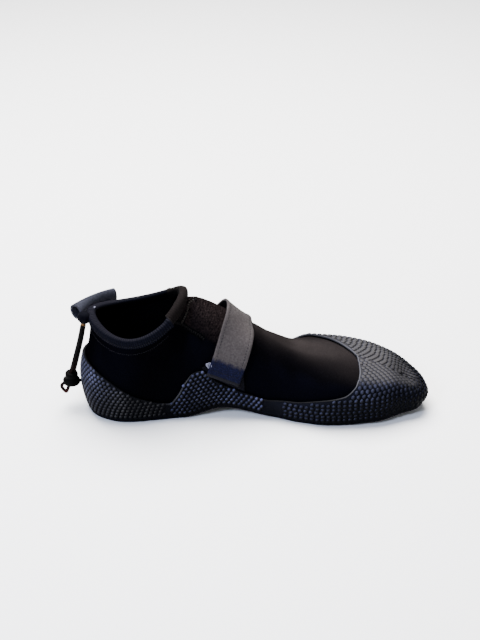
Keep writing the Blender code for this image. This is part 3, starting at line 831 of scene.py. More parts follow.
        # Painted light and shade: lighter toward the key light, darker away from it
        light = self.facing(maker, KEY_LIGHT_SIDE, 0.0, 0.85)
        tint = maker.blend(light, shade(self.colours.thread_chain, 0.3), self.colours.thread_chain)
        return end(tint, maker.bump(fibres, YARN_DEPTH, 0.7))

    def cord(self):
        maker, end = self.start("elastic_braid", 0.8, 0.05)
        braid = self.use(maker, "braid", Pitch=0.0019, Round=0.0072)
        yarn = maker.blend(maker.attribute("tail"), shade(self.colours.cord, 2.6), self.colours.cord_tail)
        tint = maker.blend(braid["Yarn"], self.colours.cord, yarn)
        return end(tint, maker.bump(braid["Height"], 0.00025, 0.8))

    def brass(self):
        maker, end = self.start("ferrule_metal", 0.35, metallic=1.0)
        skin = self.use(maker, "rubbed", Dust=0.8)
        tint = maker.blend(skin["Rubbed"], self.colours.brass, shade(self.colours.brass, 0.4))
        return end(tint, rough=skin["Roughness"])

    def end_piece(self):
        maker, end = self.start("end_piece_rubber", 0.5, 0.018)
        skin = self.use(maker, "rubbed", Dust=0.6)
        tint = maker.blend(skin["Rubbed"], self.colours.end_piece, shade(self.colours.end_piece, 2.0))
        return end(tint, maker.bump(skin["Height"], SKIN_DEPTH, 0.4), skin["Roughness"])

    def floor(self):
        maker, end = self.start("studio_floor", 0.7)
        cloudy = maker.noise(maker.object_place(), 3.0, 3.0)
        return end(maker.blend(cloudy, shade(self.colours.floor, 0.985), self.colours.floor))


FINISHES = {}


def finish_of(context, name):
    """Material by name; the set is made on the first call."""
    if "set" not in FINISHES:
        FINISHES["set"] = Finishes(context.scene.bootie_colours)
    return FINISHES["set"].get(name)


# ---------------------------------------------------------------------------------------------------------
# Meshes

ROUTE_STEPS = 24
INSIDE_SHOE = Vector((0.12, 0, 0.03))


def lay_grid(form, columns, rows, place, spread=None, marks=None):
    """Adds a grid, moves its vertices to place(column, row) and writes spread(column, row) as its UV.

    marks names vertex attributes, each with a function of column and row.
    """
    layers = [(form.verts.layers.float.new(name), value) for name, value in (marks or {}).items()]
    made = bmesh.ops.create_grid(form, x_segments=columns, y_segments=rows, size=0.5)["verts"]
    chart = form.loops.layers.uv.verify()
    for vertex in made:
        column = round((vertex.co.x + 0.5) * columns)
        row = round((vertex.co.y + 0.5) * rows)
        flat = spread(column, row) if spread else (column / columns, row / rows)
        for loop in vertex.link_loops:
            loop[chart].uv = flat
        for layer, value in layers:
            vertex[layer] = value(column, row)
        vertex.co = place(column, row)
    return made


def weld(form):
    bmesh.ops.remove_doubles(form, verts=form.verts, dist=0.00001)


def match_faces(form):
    """Turns the faces of each connected surface the same way."""
    bmesh.ops.recalc_face_normals(form, faces=form.faces)


def face_away(form, inside):
    """Turns the faces of an open surface so that its largest face looks away from the point inside."""
    match_faces(form)
    form.normal_update()
    largest = max(form.faces, key=lambda face: face.calc_area())
    if largest.normal.dot(largest.calc_center_median() - inside) < 0:
        bmesh.ops.reverse_faces(form, faces=form.faces)


def lay_sheet(columns, rows, place, spread=None):
    """New mesh of an open sheet on the shoe, which faces away from its inside."""
    form = bmesh.new()
    lay_grid(form, columns, rows, place, spread)
    face_away(form, INSIDE_SHOE)
    return form


def close_outwards(form):
    """Turns the faces of closed surfaces outwards."""
    match_faces(form)
    if form.calc_volume(signed=True) < 0:
        bmesh.ops.reverse_faces(form, faces=form.faces)


def add_piece(name, form, looks, node=None):
    """Object of a finished mesh in the frame's place, which rides on the shoe."""
    bmesh.ops.translate(form, verts=form.verts, vec=-SHOE_MIDDLE)
    for face in form.faces:
        face.smooth = True
    data = bpy.data.meshes.new(name)
    form.to_mesh(data)
    form.free()
    data.materials.append(looks)
    piece = bpy.data.objects.new(name, data)
    bpy.context.scene.collection.objects.link(piece)
    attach(piece, "root")
    if node:
        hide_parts(node)
    return piece


def thicken(piece, thickness, offset, inner_slot=0):
    wall = piece.modifiers.new("wall", "SOLIDIFY")
    wall.thickness = thickness
    wall.offset = offset
    wall.material_offset = inner_slot
    return piece


def lay_tube(form, line, sides, profile, closed=False, marks=None):
    """Tube round a line of points; profile(share, angle) gives the reach in two directions across it.

    The first direction is the one nearest to straight up, the second is level. marks names vertex attributes,
    each with a function of share and angle.
    """
    count = len(line)
    frames = []
    for i in range(count):
        before = line[i - 1] if closed or i else line[i]
        after = line[(i + 1) % count] if closed or i < count - 1 else line[i]
        ahead = (after - before).normalized()
        guide = UP if abs(ahead.z) < 0.9 else Vector((0, 1, 0))
        lift = (guide - ahead * guide.dot(ahead)).normalized()
        frames.append((lift, ahead.cross(lift)))
    lengths = [0.0]
    for i in range(1, count + 1):
        lengths.append(lengths[-1] + (line[i % count] - line[i - 1]).length)
    last = count if closed else count - 1

    def place(column, row):
        lift, across = frames[column % count]
        rise, reach = profile(column / last, 2 * math.pi * row / sides)
        return line[column % count] + lift * rise + across * reach

    def spread(column, row):
        rise, _ = profile(column / last, math.pi / 2)
        return lengths[column], row / sides * 2 * math.pi * abs(rise)

    grid_marks = {
        name: lambda column, row, value=value: value(column / last, 2 * math.pi * row / sides)
        for name, value in (marks or {}).items()
    }
    return lay_grid(form, last, sides, place, spread, grid_marks)


def close_ends(form):
    rings = [edge for edge in form.edges if edge.is_boundary]
    bmesh.ops.holes_fill(form, edges=rings, sides=0)


def even_steps(line, pitch):
    """Places at equal distances along a list of (point, normal): point, normal and direction ahead."""
    reach, due = 0.0, 0.0
    for (start, start_normal), (end, end_normal) in zip(line, line[1:]):
        step = (end - start).length
        while step and due <= reach + step:
            share = (due - reach) / step
            ahead = (end - start).normalized()
            yield start.lerp(end, share), start_normal.lerp(end_normal, share).normalized(), ahead
            due += pitch
        reach += step


def standing(point, normal, ahead, scale):
    """Matrix that stands a unit shape on a surface, its X along ahead and its Z along the normal."""
    ahead = (ahead - normal * ahead.dot(normal)).normalized()
    across = normal.cross(ahead)
    turn = Matrix((ahead, across, normal)).transposed().to_4x4()
    return Matrix.Translation(point) @ turn @ Matrix.Diagonal((*scale, 1.0))


def small_shape(name, make, **sizes):
    """Mesh of one small shape, made once by a bmesh operator, for stamp to repeat."""
    form = bmesh.new()
    make(form, **sizes)
    shape = bpy.data.meshes.new(name)
    form.to_mesh(shape)
    form.free()
    return shape


def stamp(form, shape, places):
    """Adds a copy of a small mesh at each place."""
    for place in places:
        copy = shape.copy()
        copy.transform(place)
        form.from_mesh(copy)
        bpy.data.meshes.remove(copy)


def stitch_shape():
    return small_shape("stitch", bmesh.ops.create_icosphere, subdivisions=1, radius=0.5)


def sew(form, line, pitch, length, width, slant=0.0, beside=0.0):
    """Adds a row of stitches along a line of (point, normal), each slanted the other way from the last."""
    places = []
    for count, (point, normal, ahead) in enumerate(even_steps(line, pitch)):
        across = normal.cross(ahead).normalized()
        lean = slant if count % 2 else -slant
        along = ahead * math.cos(lean) + across * math.sin(lean)
        places.append(standing(point + across * beside, normal, along, (length, width, width * 0.8)))
    stamp(form, stitch_shape(), places)


def wall_line(side, route):
    """Line of (point, normal) on the wall through rows of along and t."""
    line = smooth_route([Vector((along, t, 0)) for along, t in route], ROUTE_STEPS)
    return [wall_spot(side, turn_of(place.x), place.y) for place in line]


# ---------------------------------------------------------------------------------------------------------
# Stage

CAMERA_AZIMUTH = math.radians(-2.0)
CAMERA_HEIGHT = math.radians(31.5)
CAMERA_ROLL = math.radians(0.3)
CAMERA_DISTANCE = 0.910
CAMERA_AIM = Vector((0.1265, 0.0, 0.0740))
FOCAL_PIXELS = 1167.0
PHOTO_HEIGHT = 640.0
SENSOR = 36.0
SKY_COLOUR = (0.93, 0.96, 1.0, 1.0)
SKY_STRENGTH = 0.4
FLOOR_HALF = 4.0

Lamp = namedtuple("Lamp", "name place aim size power colour")
LAMPS = (
    Lamp("sky_panel", (-0.15, 0.45, 1.25), (0.0, 0.0, 0.03), 1.10, 120.0, (1.0, 0.985, 0.96)),
    Lamp("window_panel", (-0.75, -0.80, 0.95), (0.0, 0.0, 0.04), 0.35, 20.0, (0.66, 0.76, 1.0)),
)


class BOOTIE_OT_stage(bpy.types.Operator):
    """Camera at the photograph's angle, soft studio light and a pale floor."""

    bl_idname = "bootie.stage"
    bl_label = "Stage"

    def execute(self, context):
        self.add_camera(context)
        for lamp in LAMPS:
            self.add_lamp(context, lamp)
        world = bpy.data.worlds.new("studio")
        world.use_nodes = True
        sky = world.node_tree.nodes["Background"]
        sky.inputs["Color"].default_value = SKY_COLOUR
        sky.inputs["Strength"].default_value = SKY_STRENGTH
        context.scene.world = world
        self.add_floor(context)
        return {"FINISHED"}

    def add_camera(self, context):
        level = math.cos(CAMERA_HEIGHT)
        back = Vector(
            (math.sin(CAMERA_AZIMUTH) * level, -math.cos(CAMERA_AZIMUTH) * level, math.sin(CAMERA_HEIGHT))
        )
        right = (-back).cross(UP).normalized()
        up = back.cross(right)
        turned = right * math.cos(CAMERA_ROLL) + up * math.sin(CAMERA_ROLL)
        data = bpy.data.cameras.new("camera")
        data.sensor_width = SENSOR
        data.lens = FOCAL_PIXELS / PHOTO_HEIGHT * SENSOR
        camera = bpy.data.objects.new("camera", data)
        axes = Matrix((turned, back.cross(turned), back)).transposed().to_4x4()
        camera.matrix_world = Matrix.Translation(CAMERA_AIM - SHOE_MIDDLE + back * CAMERA_DISTANCE) @ axes
        context.scene.collection.objects.link(camera)
        context.scene.camera = camera

    def add_lamp(self, context, lamp):
        data = bpy.data.lights.new(lamp.name, "AREA")
        data.size = lamp.size
        data.energy = lamp.power
        data.color = lamp.colour
        made = bpy.data.objects.new(lamp.name, data)
        made.location = lamp.place
        made.rotation_euler = (Vector(lamp.aim) - made.location).to_track_quat("-Z", "Y").to_euler()
        context.scene.collection.objects.link(made)

    def add_floor(self, context):
        form = bmesh.new()
        bmesh.ops.create_grid(form, x_segments=8, y_segments=8, size=FLOOR_HALF)
        data = bpy.data.meshes.new("floor")
        form.to_mesh(data)
        form.free()
        data.materials.append(finish_of(context, "floor"))
        floor = bpy.data.objects.new("floor", data)
        context.scene.collection.objects.link(floor)


# ---------------------------------------------------------------------------------------------------------
# Drawcord

CORD_SPREAD = 0.00080
CORD_FAN = 0.00050
CORD_DEPTH = 0.00080
CORD_SIDES = 12
TAIL_THINNER = 0.95
OUTLET_ROOT = Vector((0.0068, -0.0065, 0.0838))
OUTLET_TIP = Vector((0.0056, -0.0065, 0.0776))
CORD_ROUTE = (
    Vector((0.0052, -0.0062, 0.0752)),
    Vector((0.0022, -0.0058, 0.0620)),
    Vector((-0.0018, -0.0054, 0.0470)),
    Vector((-0.0064, -0.0050, 0.0306)),
)
END_TOP = Vector((-0.0070, -0.0050, 0.0300))
END_FOOT = Vector((-0.0076, -0.0050, 0.0203))
Turned = namedtuple("Turned", "height radius")

# Bell-shaped end piece from its foot up, shares of its length
END_PROFILE = (
    Turned(-0.02, 0.0034),
    Turned(0.00, 0.0052),
    Turned(0.05, 0.0062),
    Turned(0.15, 0.0069),
    Turned(0.34, 0.0069),
    Turned(0.44, 0.0064),
    Turned(0.52, 0.0054),
    Turned(0.56, 0.0049),
    Turned(0.62, 0.0047),
    Turned(0.70, 0.0050),
    Turned(0.94, 0.0051),
    Turned(1.06, 0.0047),
    Turned(1.10, 0.0038),
)
END_NUB = Vector((0.0070, -0.0004, 0.0028))

# Gathered sack at the top of the outlet and the metal ferrule under it, shares of the outlet's length
SACK_PROFILE = (
    Turned(-0.06, 0.0018),
    Turned(0.00, 0.0024),
    Turned(0.12, 0.0032),
    Turned(0.30, 0.0042),
    Turned(0.52, 0.0049),
    Turned(0.76, 0.0051),
    Turned(1.00, 0.0050),
    Turned(1.20, 0.0042),
    Turned(1.36, 0.0030),
    Turned(1.42, 0.0015),
)
FERRULE_PROFILE = (
    Turned(-0.34, 0.0016),
    Turned(-0.31, 0.0019),
    Turned(-0.22, 0.0019),
    Turned(-0.19, 0.0017),
    Turned(-0.14, 0.0017),
    Turned(-0.11, 0.0019),
    Turned(0.00, 0.0020),
    Turned(0.06, 0.0017),
)
SACK_GATHERS = 9
SACK_PLEAT = 0.10

# The doubled cord's own end below the end piece: a flat loop that faces the inner side
LOOP_END_ROUTE = (
    Vector((-0.0086, -0.0062, 0.0212)),
    Vector((-0.0104, -0.0070, 0.0214)),
    Vector((-0.0130, -0.0072, 0.0218)),
    Vector((-0.0151, -0.0070, 0.0203)),
    Vector((-0.0153, -0.0068, 0.0178)),
    Vector((-0.0138, -0.0066, 0.0149)),
    Vector((-0.0121, -0.0064, 0.0132)),
    Vector((-0.0108, -0.0064, 0.0158)),
    Vector((-0.0097, -0.0062, 0.0188)),
    Vector((-0.0088, -0.0058, 0.0212)),
)


def turn_profile(form, foot, top, profile, steps):
    """Adds a solid turned round the line from foot to top, from rows of height share and radius."""
    length = (top - foot).length
    line = [Vector((0, 0, profile[0].height * length))]
    line += [Vector((row.radius, 0, row.height * length)) for row in profile]
    line.append(Vector((0, 0, profile[-1].height * length)))
    points = [form.verts.new(place) for place in line]
    edges = [form.edges.new(pair) for pair in zip(points, points[1:])]
    bmesh.ops.spin(
        form,
        geom=points + edges,
        cent=(0, 0, 0),
        axis=(0, 0, 1),
        angle=2 * math.pi,
        steps=steps,
        use_merge=True,
    )
    weld(form)
    stand = Matrix.Translation(foot) @ (top - foot).to_track_quat("Z", "Y").to_matrix().to_4x4()
    bmesh.ops.transform(form, matrix=stand, verts=form.verts)


class BOOTIE_OT_drawcord(bpy.types.Operator):
    """Elastic drawcord: gathered sack, ferrule, two braided strands, end piece and the cord's own loop."""

    bl_idname = "bootie.drawcord"
    bl_label = "Drawcord"

    def execute(self, context):
        radius = context.scene.bootie_sizes.cord_radius
        braid = finish_of(context, "cord")
        end_piece = self.add_end_piece(context)
        tail = self.add_cord(
            "cord_tail",
            "cord_loop",
            smooth_route(LOOP_END_ROUTE, 6),
            radius * TAIL_THINNER,
            braid,
            lambda height: 0.15 + 0.85 * smoothstep(0.017, 0.013, height),
        )
        route = smooth_route(CORD_ROUTE, 12)
        for name, way in (("drawcord_a", -1), ("drawcord_b", 1)):
            line = [
                place + Vector((way * (CORD_SPREAD + CORD_FAN * k / len(route)), way * CORD_DEPTH, 0))
                for k, place in enumerate(route)
            ]
            strand = self.add_cord(
                name + "_braid",
                name,
                line,
                radius,
                braid,
                lambda height: 0.12 * smoothstep(0.050, 0.034, height),
            )
            path = [place - SHOE_MIDDLE for place in line]
            length = sum((end - start).length for start, end in zip(path, path[1:]))
            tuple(path[0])
        self.add_sack(context)
        form = bmesh.new()
        turn_profile(form, OUTLET_TIP, OUTLET_ROOT, FERRULE_PROFILE, 24)
        close_outwards(form)
        add_piece("cord_ferrule", form, finish_of(context, "brass"), "cord_outlet")
        return {"FINISHED"}

    def add_sack(self, context):
        """End of the loop's strip, gathered into a small sack that the cord leaves through the ferrule."""
        form = bmesh.new()
        turn_profile(form, OUTLET_TIP, OUTLET_ROOT, SACK_PROFILE, 54)
        axis = (OUTLET_ROOT - OUTLET_TIP).normalized()
        for vertex in form.verts:
            reach = (vertex.co - OUTLET_TIP).dot(axis)
            spoke = vertex.co - OUTLET_TIP - axis * reach
            angle = math.atan2(spoke.y, spoke.x)
            pleat = math.cos(SACK_GATHERS * angle + 0.8 * math.sin(2 * angle))
            vertex.co += spoke * SACK_PLEAT * pleat * smoothstep(0.0085, 0.0010, reach)
        close_outwards(form)
        add_piece("cord_sack", form, finish_of(context, "hem"), "cord_outlet")

    def add_cord(self, name, node, line, radius, looks, tail):
        """Round cord along a line, closed at its ends; tail gives how far it is stained at a height."""

        def profile(share, angle):
            return radius * math.sin(angle), radius * math.cos(angle)

        form = bmesh.new()
        lay_tube(form, line, CORD_SIDES, profile)
        weld(form)
        close_ends(form)
        close_outwards(form)
        stain = form.verts.layers.float.new("tail")
        for vertex in form.verts:
            vertex[stain] = tail(vertex.co.z)
        return add_piece(name, form, looks, node)

    def add_end_piece(self, context):
        form = bmesh.new()
        turn_profile(form, END_FOOT, END_TOP, END_PROFILE, 32)
        nub = Matrix.Translation(END_FOOT + END_NUB) @ Matrix.Diagonal((0.0022, 0.0020, 0.0018, 1.0))
        bmesh.ops.create_uvsphere(form, u_segments=12, v_segments=8, radius=0.7, matrix=nub)
        match_faces(form)
        return add_piece("cord_bell", form, finish_of(context, "end_piece"), "cord_end")


# ---------------------------------------------------------------------------------------------------------
# Rubber

TREAD_ROWS = 6
EDGE_ROWS = 5
WALL_ROWS = 36

# Lip along the rubber's upper edge: its half width, a share of the usual one, and the strength of its painted
# highlight on the inner and the outer side
Lip = namedtuple("Lip", "along width inner outer")
LIP = (
    Lip(0.000, 0.5, 0.10, 0.10),
    Lip(0.200, 0.5, 0.05, 0.05),
    Lip(0.245, 0.7, 0.40, 0.40),
    Lip(0.270, 1.0, 0.60, 0.60),
    Lip(0.295, 0.9, 0.50, 0.50),
    Lip(0.330, 0.5, 0.05, 0.05),
    Lip(0.560, 0.6, 0.05, 0.20),
    Lip(0.620, 0.6, 0.05, 0.50),
    Lip(0.720, 0.7, 0.10, 0.60),
    Lip(0.800, 0.9, 0.70, 0.90),
    Lip(0.830, 1.0, 1.00, 1.00),
    Lip(1.000, 1.0, 1.00, 1.00),
)
LIP_WIDTH = smooth_column(LIP, "width")
LIP_HIGHLIGHT = {INNER: smooth_column(LIP, "inner"), OUTER: smooth_column(LIP, "outer")}

# Studded stretches of the rubber: turns past the toe or the heel run on to the other side.
# pitch: the size that sets the distance along a row. rows: distance between rows, a share of it. long and
# wide: half length and half width of a stud, shares of the pitch. tall: its height, a share of the usual one.
# lean: how far a stud is turned in its place. margin: bare rubber left below the upper edge. sheen: how
# strong
# its painted highlight is. blue: the least share of blue in that painted highlight.
Stretch = namedtuple("Stretch", "name side start middle end pitch rows long wide tall lean margin sheen blue")
TOE_STUDS = ("toe_pitch", 0.80, 0.49, 0.55, 0.85, 0.0, 0.0022, 0.50, 0.9)
HEEL_STUDS = ("heel_pitch", 0.82, 0.52, 0.56, 1.0, 0.0, 0.0007, 1.00, 0.0)
WING_STUDS = ("wing_pitch", 0.77, 0.49, 0.61, 1.25, 0.35, 0.0007, 1.00, 1.0)
STRETCHES = (
    Stretch("toe_studs", INNER, turn_of(0.585), 1.0, 2 - turn_of(0.560), *TOE_STUDS),
    Stretch("heel_studs", INNER, -turn_of(0.230), 0.0, turn_of(0.230), *HEEL_STUDS),
    Stretch("wing_studs_inner", INNER, turn_of(0.250), turn_of(0.320), turn_of(0.525), *WING_STUDS),
    Stretch("wing_studs_outer", OUTER, turn_of(0.250), turn_of(0.320), turn_of(0.525), *WING_STUDS),
)

# Samples along a row and the most rows; the least distance between studs and the reach over which their
# directions are evened, both in pitches; and the share of the wall from which the rubber counts as closed
STUD_SAMPLES = 420
STUD_ROWS = 40
STUD_CLEARANCE = 0.55
STUD_LEVELLING = 2.4
OPEN_TOP = 0.995

LIP_SIDES = 10
LIP_SINK = 0.0005
LIP_HEIGHT = 0.0009
SHELL_CLEARANCE = 0.0001
HEIGHT_STEPS = 48
RUBBER_FACE = GAP + RUBBER_WALL


def tread_line(turn, offset, share, side):
    """Spot on the line across the tread from its middle to one side's edge, at the tread's height there."""
    edges = {way: wall_point(way, turn, 0, offset) for way in (INNER, OUTER)}
    ground = {way: base_point(way, turn).z for way in (INNER, OUTER)}
    spot = ((edges[INNER] + edges[OUTER]) / 2).lerp(edges[side], share)
    level = (ground[INNER] + ground[OUTER]) / 2
    return Vector((spot.x, spot.y, level + (ground[side] - level) * share))


@lru_cache(maxsize=None)
def wall_heights(side, turn):
    """Distance up the rubber's face from the base line, at equal steps of t."""
    reach, heights = 0.0, [0.0]
    before = wall_point(side, turn, 0, RUBBER_FACE)
    for step in range(1, HEIGHT_STEPS + 1):
        after = wall_point(side, turn, step / HEIGHT_STEPS, RUBBER_FACE)
        reach += (after - before).length
        heights.append(reach)
        before = after
    return heights


def t_at(side, turn, height):
    """Share of the wall at a distance up the rubber's face, or None above its top."""
    heights = wall_heights(side, turn)
    if height <= 0:
        return 0.0
    for step in range(HEIGHT_STEPS):
        if heights[step + 1] >= height:
            return (step + (height - heights[step]) / (heights[step + 1] - heights[step])) / HEIGHT_STEPS
    return None


def height_at(side, turn, t):
    heights = wall_heights(side, turn)
    step = min(int(t * HEIGHT_STEPS), HEIGHT_STEPS - 1)
    return heights[step] + (heights[step + 1] - heights[step]) * (t * HEIGHT_STEPS - step)


def stud_places(stretch, row_pitch, stud_pitch):
    """Point, normal and direction of each stud of a stretch, on rows offset by half a pitch."""
    run = stretch.end - stretch.start
    turns = [stretch.start + run * k / STUD_SAMPLES for k in range(STUD_SAMPLES + 1)]
    middle = min(range(STUD_SAMPLES + 1), key=lambda k: abs(turns[k] - stretch.middle))
    for row in range(STUD_ROWS):
        height = row * row_pitch
        spots = []
        for turn in turns:
            side, here = unfold(stretch.side, turn)
            t = t_at(side, here, height)
            rim = min(RIM_SHARE[side](here), 1)
            if t is None or (rim <= OPEN_TOP and height > height_at(side, here, rim) - stretch.margin):
                spots.append(None)
            else:
                spots.append(wall_spot(side, here, t, RUBBER_FACE))
        if not any(spots):
            return
        shift = stud_pitch / 2 if row % 2 else 0.0
        for way in (1, -1):
            due = shift if way == 1 or row % 2 else stud_pitch
            reach, k = 0.0, middle
            while 0 <= k + way <= STUD_SAMPLES:
                here, there = spots[k], spots[k + way]
                if here and there:
                    step = (there[0] - here[0]).length
                    while due <= reach + step:
                        share = (due - reach) / step if step else 0
                        yield (
                            here[0].lerp(there[0], share),
                            here[1].lerp(there[1], share).normalized(),
                            (there[0] - here[0]).normalized() * way,
                        )
                        due += stud_pitch
                    reach += step
                else:
                    due = max(due - reach, stud_pitch / 2)
                    reach = 0.0
                k += way


def clear_of(kept, point, gap):
    """Keeps a point, in cubes of the gap's size, and returns True if no kept point is nearer than the gap."""
    cell = tuple(math.floor(place / gap) for place in point)
    for step in product((-1, 0, 1), repeat=3):
        near = kept.get(tuple(a + b for a, b in zip(cell, step)), ())
        if any((point - other).length < gap for other in near):
            return False
    kept.setdefault(cell, []).append(point)
    return True


class BOOTIE_OT_rubber(bpy.types.Operator):
    """Moulded rubber shell with its tread, the lip along its upper edge and the studs."""

    bl_idname = "bootie.rubber"
    bl_label = "Rubber"

    def execute(self, context):
        self.add_shell(context)
        self.add_lip(context)
        for stretch in STRETCHES:
            self.add_studs(context, stretch)
        return {"FINISHED"}

    def add_shell(self, context):
        def place(column, row):
            side, turn = column_place(column)
            if row <= TREAD_ROWS:
                return tread_line(turn, RUBBER_FACE - EDGE_RADIUS, row / TREAD_ROWS, side)
            if row <= TREAD_ROWS + EDGE_ROWS:
                angle = math.pi / 2 * (row - TREAD_ROWS) / EDGE_ROWS
                spot = wall_point(side, turn, 0, RUBBER_FACE - EDGE_RADIUS * (1 - math.sin(angle)))
                height = base_point(side, turn).z + EDGE_RADIUS * (1 - math.cos(angle))
                return Vector((spot.x, spot.y, height))
            share = (row - TREAD_ROWS - EDGE_ROWS) / WALL_ROWS
            return wall_point(side, turn, min(RIM_SHARE[side](turn), 1) * share, RUBBER_FACE)

        form = bmesh.new()
        rows = TREAD_ROWS + EDGE_ROWS + WALL_ROWS
        lay_grid(form, 2 * SIDE_COLUMNS, rows, place)
        chart = form.loops.layers.uv.verify()
        for face in form.faces:
            level = sum(loop[chart].uv.y for loop in face.loops) / len(face.loops) * rows
            face.material_index = 1 if level < TREAD_ROWS + EDGE_ROWS - 1 else 0
        weld(form)
        face_away(form, Vector((0.13, 0, 0.02)))
        shell = add_piece("rubber_shell", form, finish_of(context, "rubber"), "outsole")
        shell.data.materials.append(finish_of(context, "tread"))
        thicken(shell, RUBBER_WALL - SHELL_CLEARANCE, -1)

    def add_lip(self, context):
        half = context.scene.bootie_sizes.lip_width / 2
        last = next(k for k, turn in enumerate(TURNS) if RIM_SHARE[INNER](turn) > 0.9999)
        loop = [(INNER, TURNS[k]) for k in range(last + 1)]
        loop += [(OUTER, TURNS[k]) for k in range(last - 1, 0, -1)]
        line = []
        for side, turn in loop:
            spot, normal = wall_spot(side, turn, min(RIM_SHARE[side](turn), 1), RUBBER_FACE - LIP_SINK)
            line.append((spot, normal, half * LIP_WIDTH(turn), LIP_HIGHLIGHT[side](turn)))
        count = len(line)

        def place(column, row):
            point, normal, width, _ = line[column % count]
            ahead = (line[(column + 1) % count][0] - line[column - 1 - (column == count)][0]).normalized()
            across = normal.cross(ahead).normalized()
            angle = 2 * math.pi * row / LIP_SIDES
            return point + normal * LIP_HEIGHT * math.sin(angle) + across * width * math.cos(angle)

        form = bmesh.new()
        # The light mark carries the strength of the lip's painted highlight
        lay_grid(form, count, LIP_SIDES, place, marks={"light": lambda column, row: line[column % count][3]})
        weld(form)
        close_outwards(form)
        add_piece("rubber_lip", form, finish_of(context, "lip"))

    def add_studs(self, context, stretch):
        sizes = context.scene.bootie_sizes
        pitch = getattr(sizes, stretch.pitch)
        shape = small_shape("stud", bmesh.ops.create_uvsphere, u_segments=8, v_segments=4, radius=1.0)
        kept = {}
        spots = stud_places(stretch, pitch * stretch.rows, pitch)
        spots = [spot for spot in spots if clear_of(kept, spot[0], STUD_CLEARANCE * pitch)]
        tree = point_tree([spot[0] for spot in spots])
        places, marks = [], []
        for point, _, ahead in spots:
            near = tree.find_range(point, STUD_LEVELLING * pitch)
            normal = sum((spots[index][1] for _, index, _ in near), Vector()).normalized()
            ahead = (ahead - normal * ahead.dot(normal)).normalized()
            across = normal.cross(ahead)
            leaning = ahead * math.cos(stretch.lean) + across * math.sin(stretch.lean)
            height = sizes.stud_height * stretch.tall * (1 - 0.4 * smoothstep(0.5, 0.95, normal.z))
            scale = (pitch * stretch.long, pitch * stretch.wide, height)
            places.append(standing(point, normal, leaning, scale))
            # Marks of the painted light: level sets the painted top light, sheen the painted highlight's
            # strength, weaker toward the toe's front, and blue its share of blue where the wall faces the
            # blue lamp
            marks.append({
                "level": normal.dot(TOP_SIDE),
                "sheen": stretch.sheen * (1 - 0.75 * smoothstep(0.05, 0.55, normal.x)),
                "blue": max(stretch.blue, 0.85 * smoothstep(0.35, 0.95, normal.dot(LIT_SIDE))),
            })
        form = bmesh.new()
        stamp(form, shape, places)
        for name in ("level", "sheen", "blue"):
            layer = form.verts.layers.float.new(name)
            for index, vertex in enumerate(form.verts):
                vertex[layer] = marks[index // len(shape.vertices)][name]
        add_piece(stretch.name, form, finish_of(context, "studs"))


# ---------------------------------------------------------------------------------------------------------
# Upper, seams and insole

UPPER_ROWS = 50

# Soft troughs (depth above 0) and ridges (below 0) of the upper: the ends of each as along and t, its half
# width and its depth
Crease = namedtuple("Crease", "side from_along from_t to_along to_t width depth")
CREASES = (
    Crease(INNER, 0.250, 0.800, 0.420, 0.420, 0.0024, 0.0007),
    Crease(OUTER, 0.250, 0.800, 0.420, 0.420, 0.0024, 0.0007),
    Crease(INNER, 0.120, 0.860, 0.200, 0.640, 0.0060, 0.0012),
    Crease(OUTER, 0.110, 0.860, 0.200, 0.640, 0.0060, 0.0012),
    Crease(INNER, 0.560, 0.980, 0.560, 0.600, 0.0050, 0.0006),
    Crease(OUTER, 0.560, 0.900, 0.560, 0.640, 0.0050, 0.0005),
    Crease(INNER, 0.640, 0.900, 0.600, 0.450, 0.0060, -0.0006),
    Crease(INNER, 0.020, 0.900, 0.025, 0.720, 0.0030, 0.0006),
)

# Painted top light along the upper's ridge: the distance down the inner wall over which it weakens, and its
# strength on top. On the outer side it grows by a share within a distance of the top edge, and is lost
# further down.
Fade = namedtuple("Fade", "along reach peak")
TOP_LIGHTS = (
    Fade(0.000, 0.0080, 0.20),
    Fade(0.560, 0.0100, 0.54),
    Fade(0.620, 0.0065, 0.60),
    Fade(0.665, 0.0066, 0.84),
    Fade(0.710, 0.0095, 0.86),
    Fade(0.755, 0.0140, 0.80),
    Fade(0.800, 0.0230, 0.62),
    Fade(1.000, 0.0250, 0.62),
)
TOP_LIGHT_REACH, TOP_LIGHT_PEAK = smooth_column(TOP_LIGHTS, "reach"), smooth_column(TOP_LIGHTS, "peak")
OUTER_GAIN, OUTER_RISE = 0.3, 0.006
OUTER_LOSS, OUTER_LOSS_FROM, OUTER_LOSS_TO = 0.75, 0.012, 0.036

# Seam at the lower edge of the ribbed instep panel, and the panel's end under the strap: along at the foot of
# the wall, how much further on it is on the ridge, and how softly it ends
PANEL_SEAM = ((0.211, 0.995), (0.256, 0.850), (0.327, 0.645), (0.366, 0.520), (0.410, 0.430), (0.470, 0.370))
PANEL_SEWN_ROWS = 4
PANEL_EDGE_SOFT = 0.03
PANEL_END = 0.40
PANEL_END_SHIFT = 0.075
PANEL_END_SOFT = 0.05

# Seams below the collar's edge and in front of the hem: steps along the collar from the heel to the throat,
# where they end or start, and the sizes of their stitches
HEM_SEAM_DROP = 0.0052
FRONT_SEAM_DROP = 0.0073
COLLAR_STEPS = 120
HEM_SEAM_STEPS = 88
FRONT_SEAM_START = 97
ZIGZAG_WIDTH = 0.0008
ZIGZAG_SLANT = math.radians(32)
CHAIN_WIDTH = 0.0029
CHAIN_SLANT = math.radians(24)
CHAIN_EDGE = 0.0017
CHAIN_EDGE_WIDTH = 0.0012
INSOLE_ROWS = 16


def crease_depth(creases, point):
    """How far the creases push the upper's face inwards at a point."""
    depth = 0.0
    for crease, start, end in creases:
        run = end - start
        share = min(1, max(0, (point - start).dot(run) / run.length_squared))
        gap = (point - start - run * share).length
        if gap < 3 * crease.width:
            depth += crease.depth * math.exp(-((gap / crease.width) ** 2))
    return depth


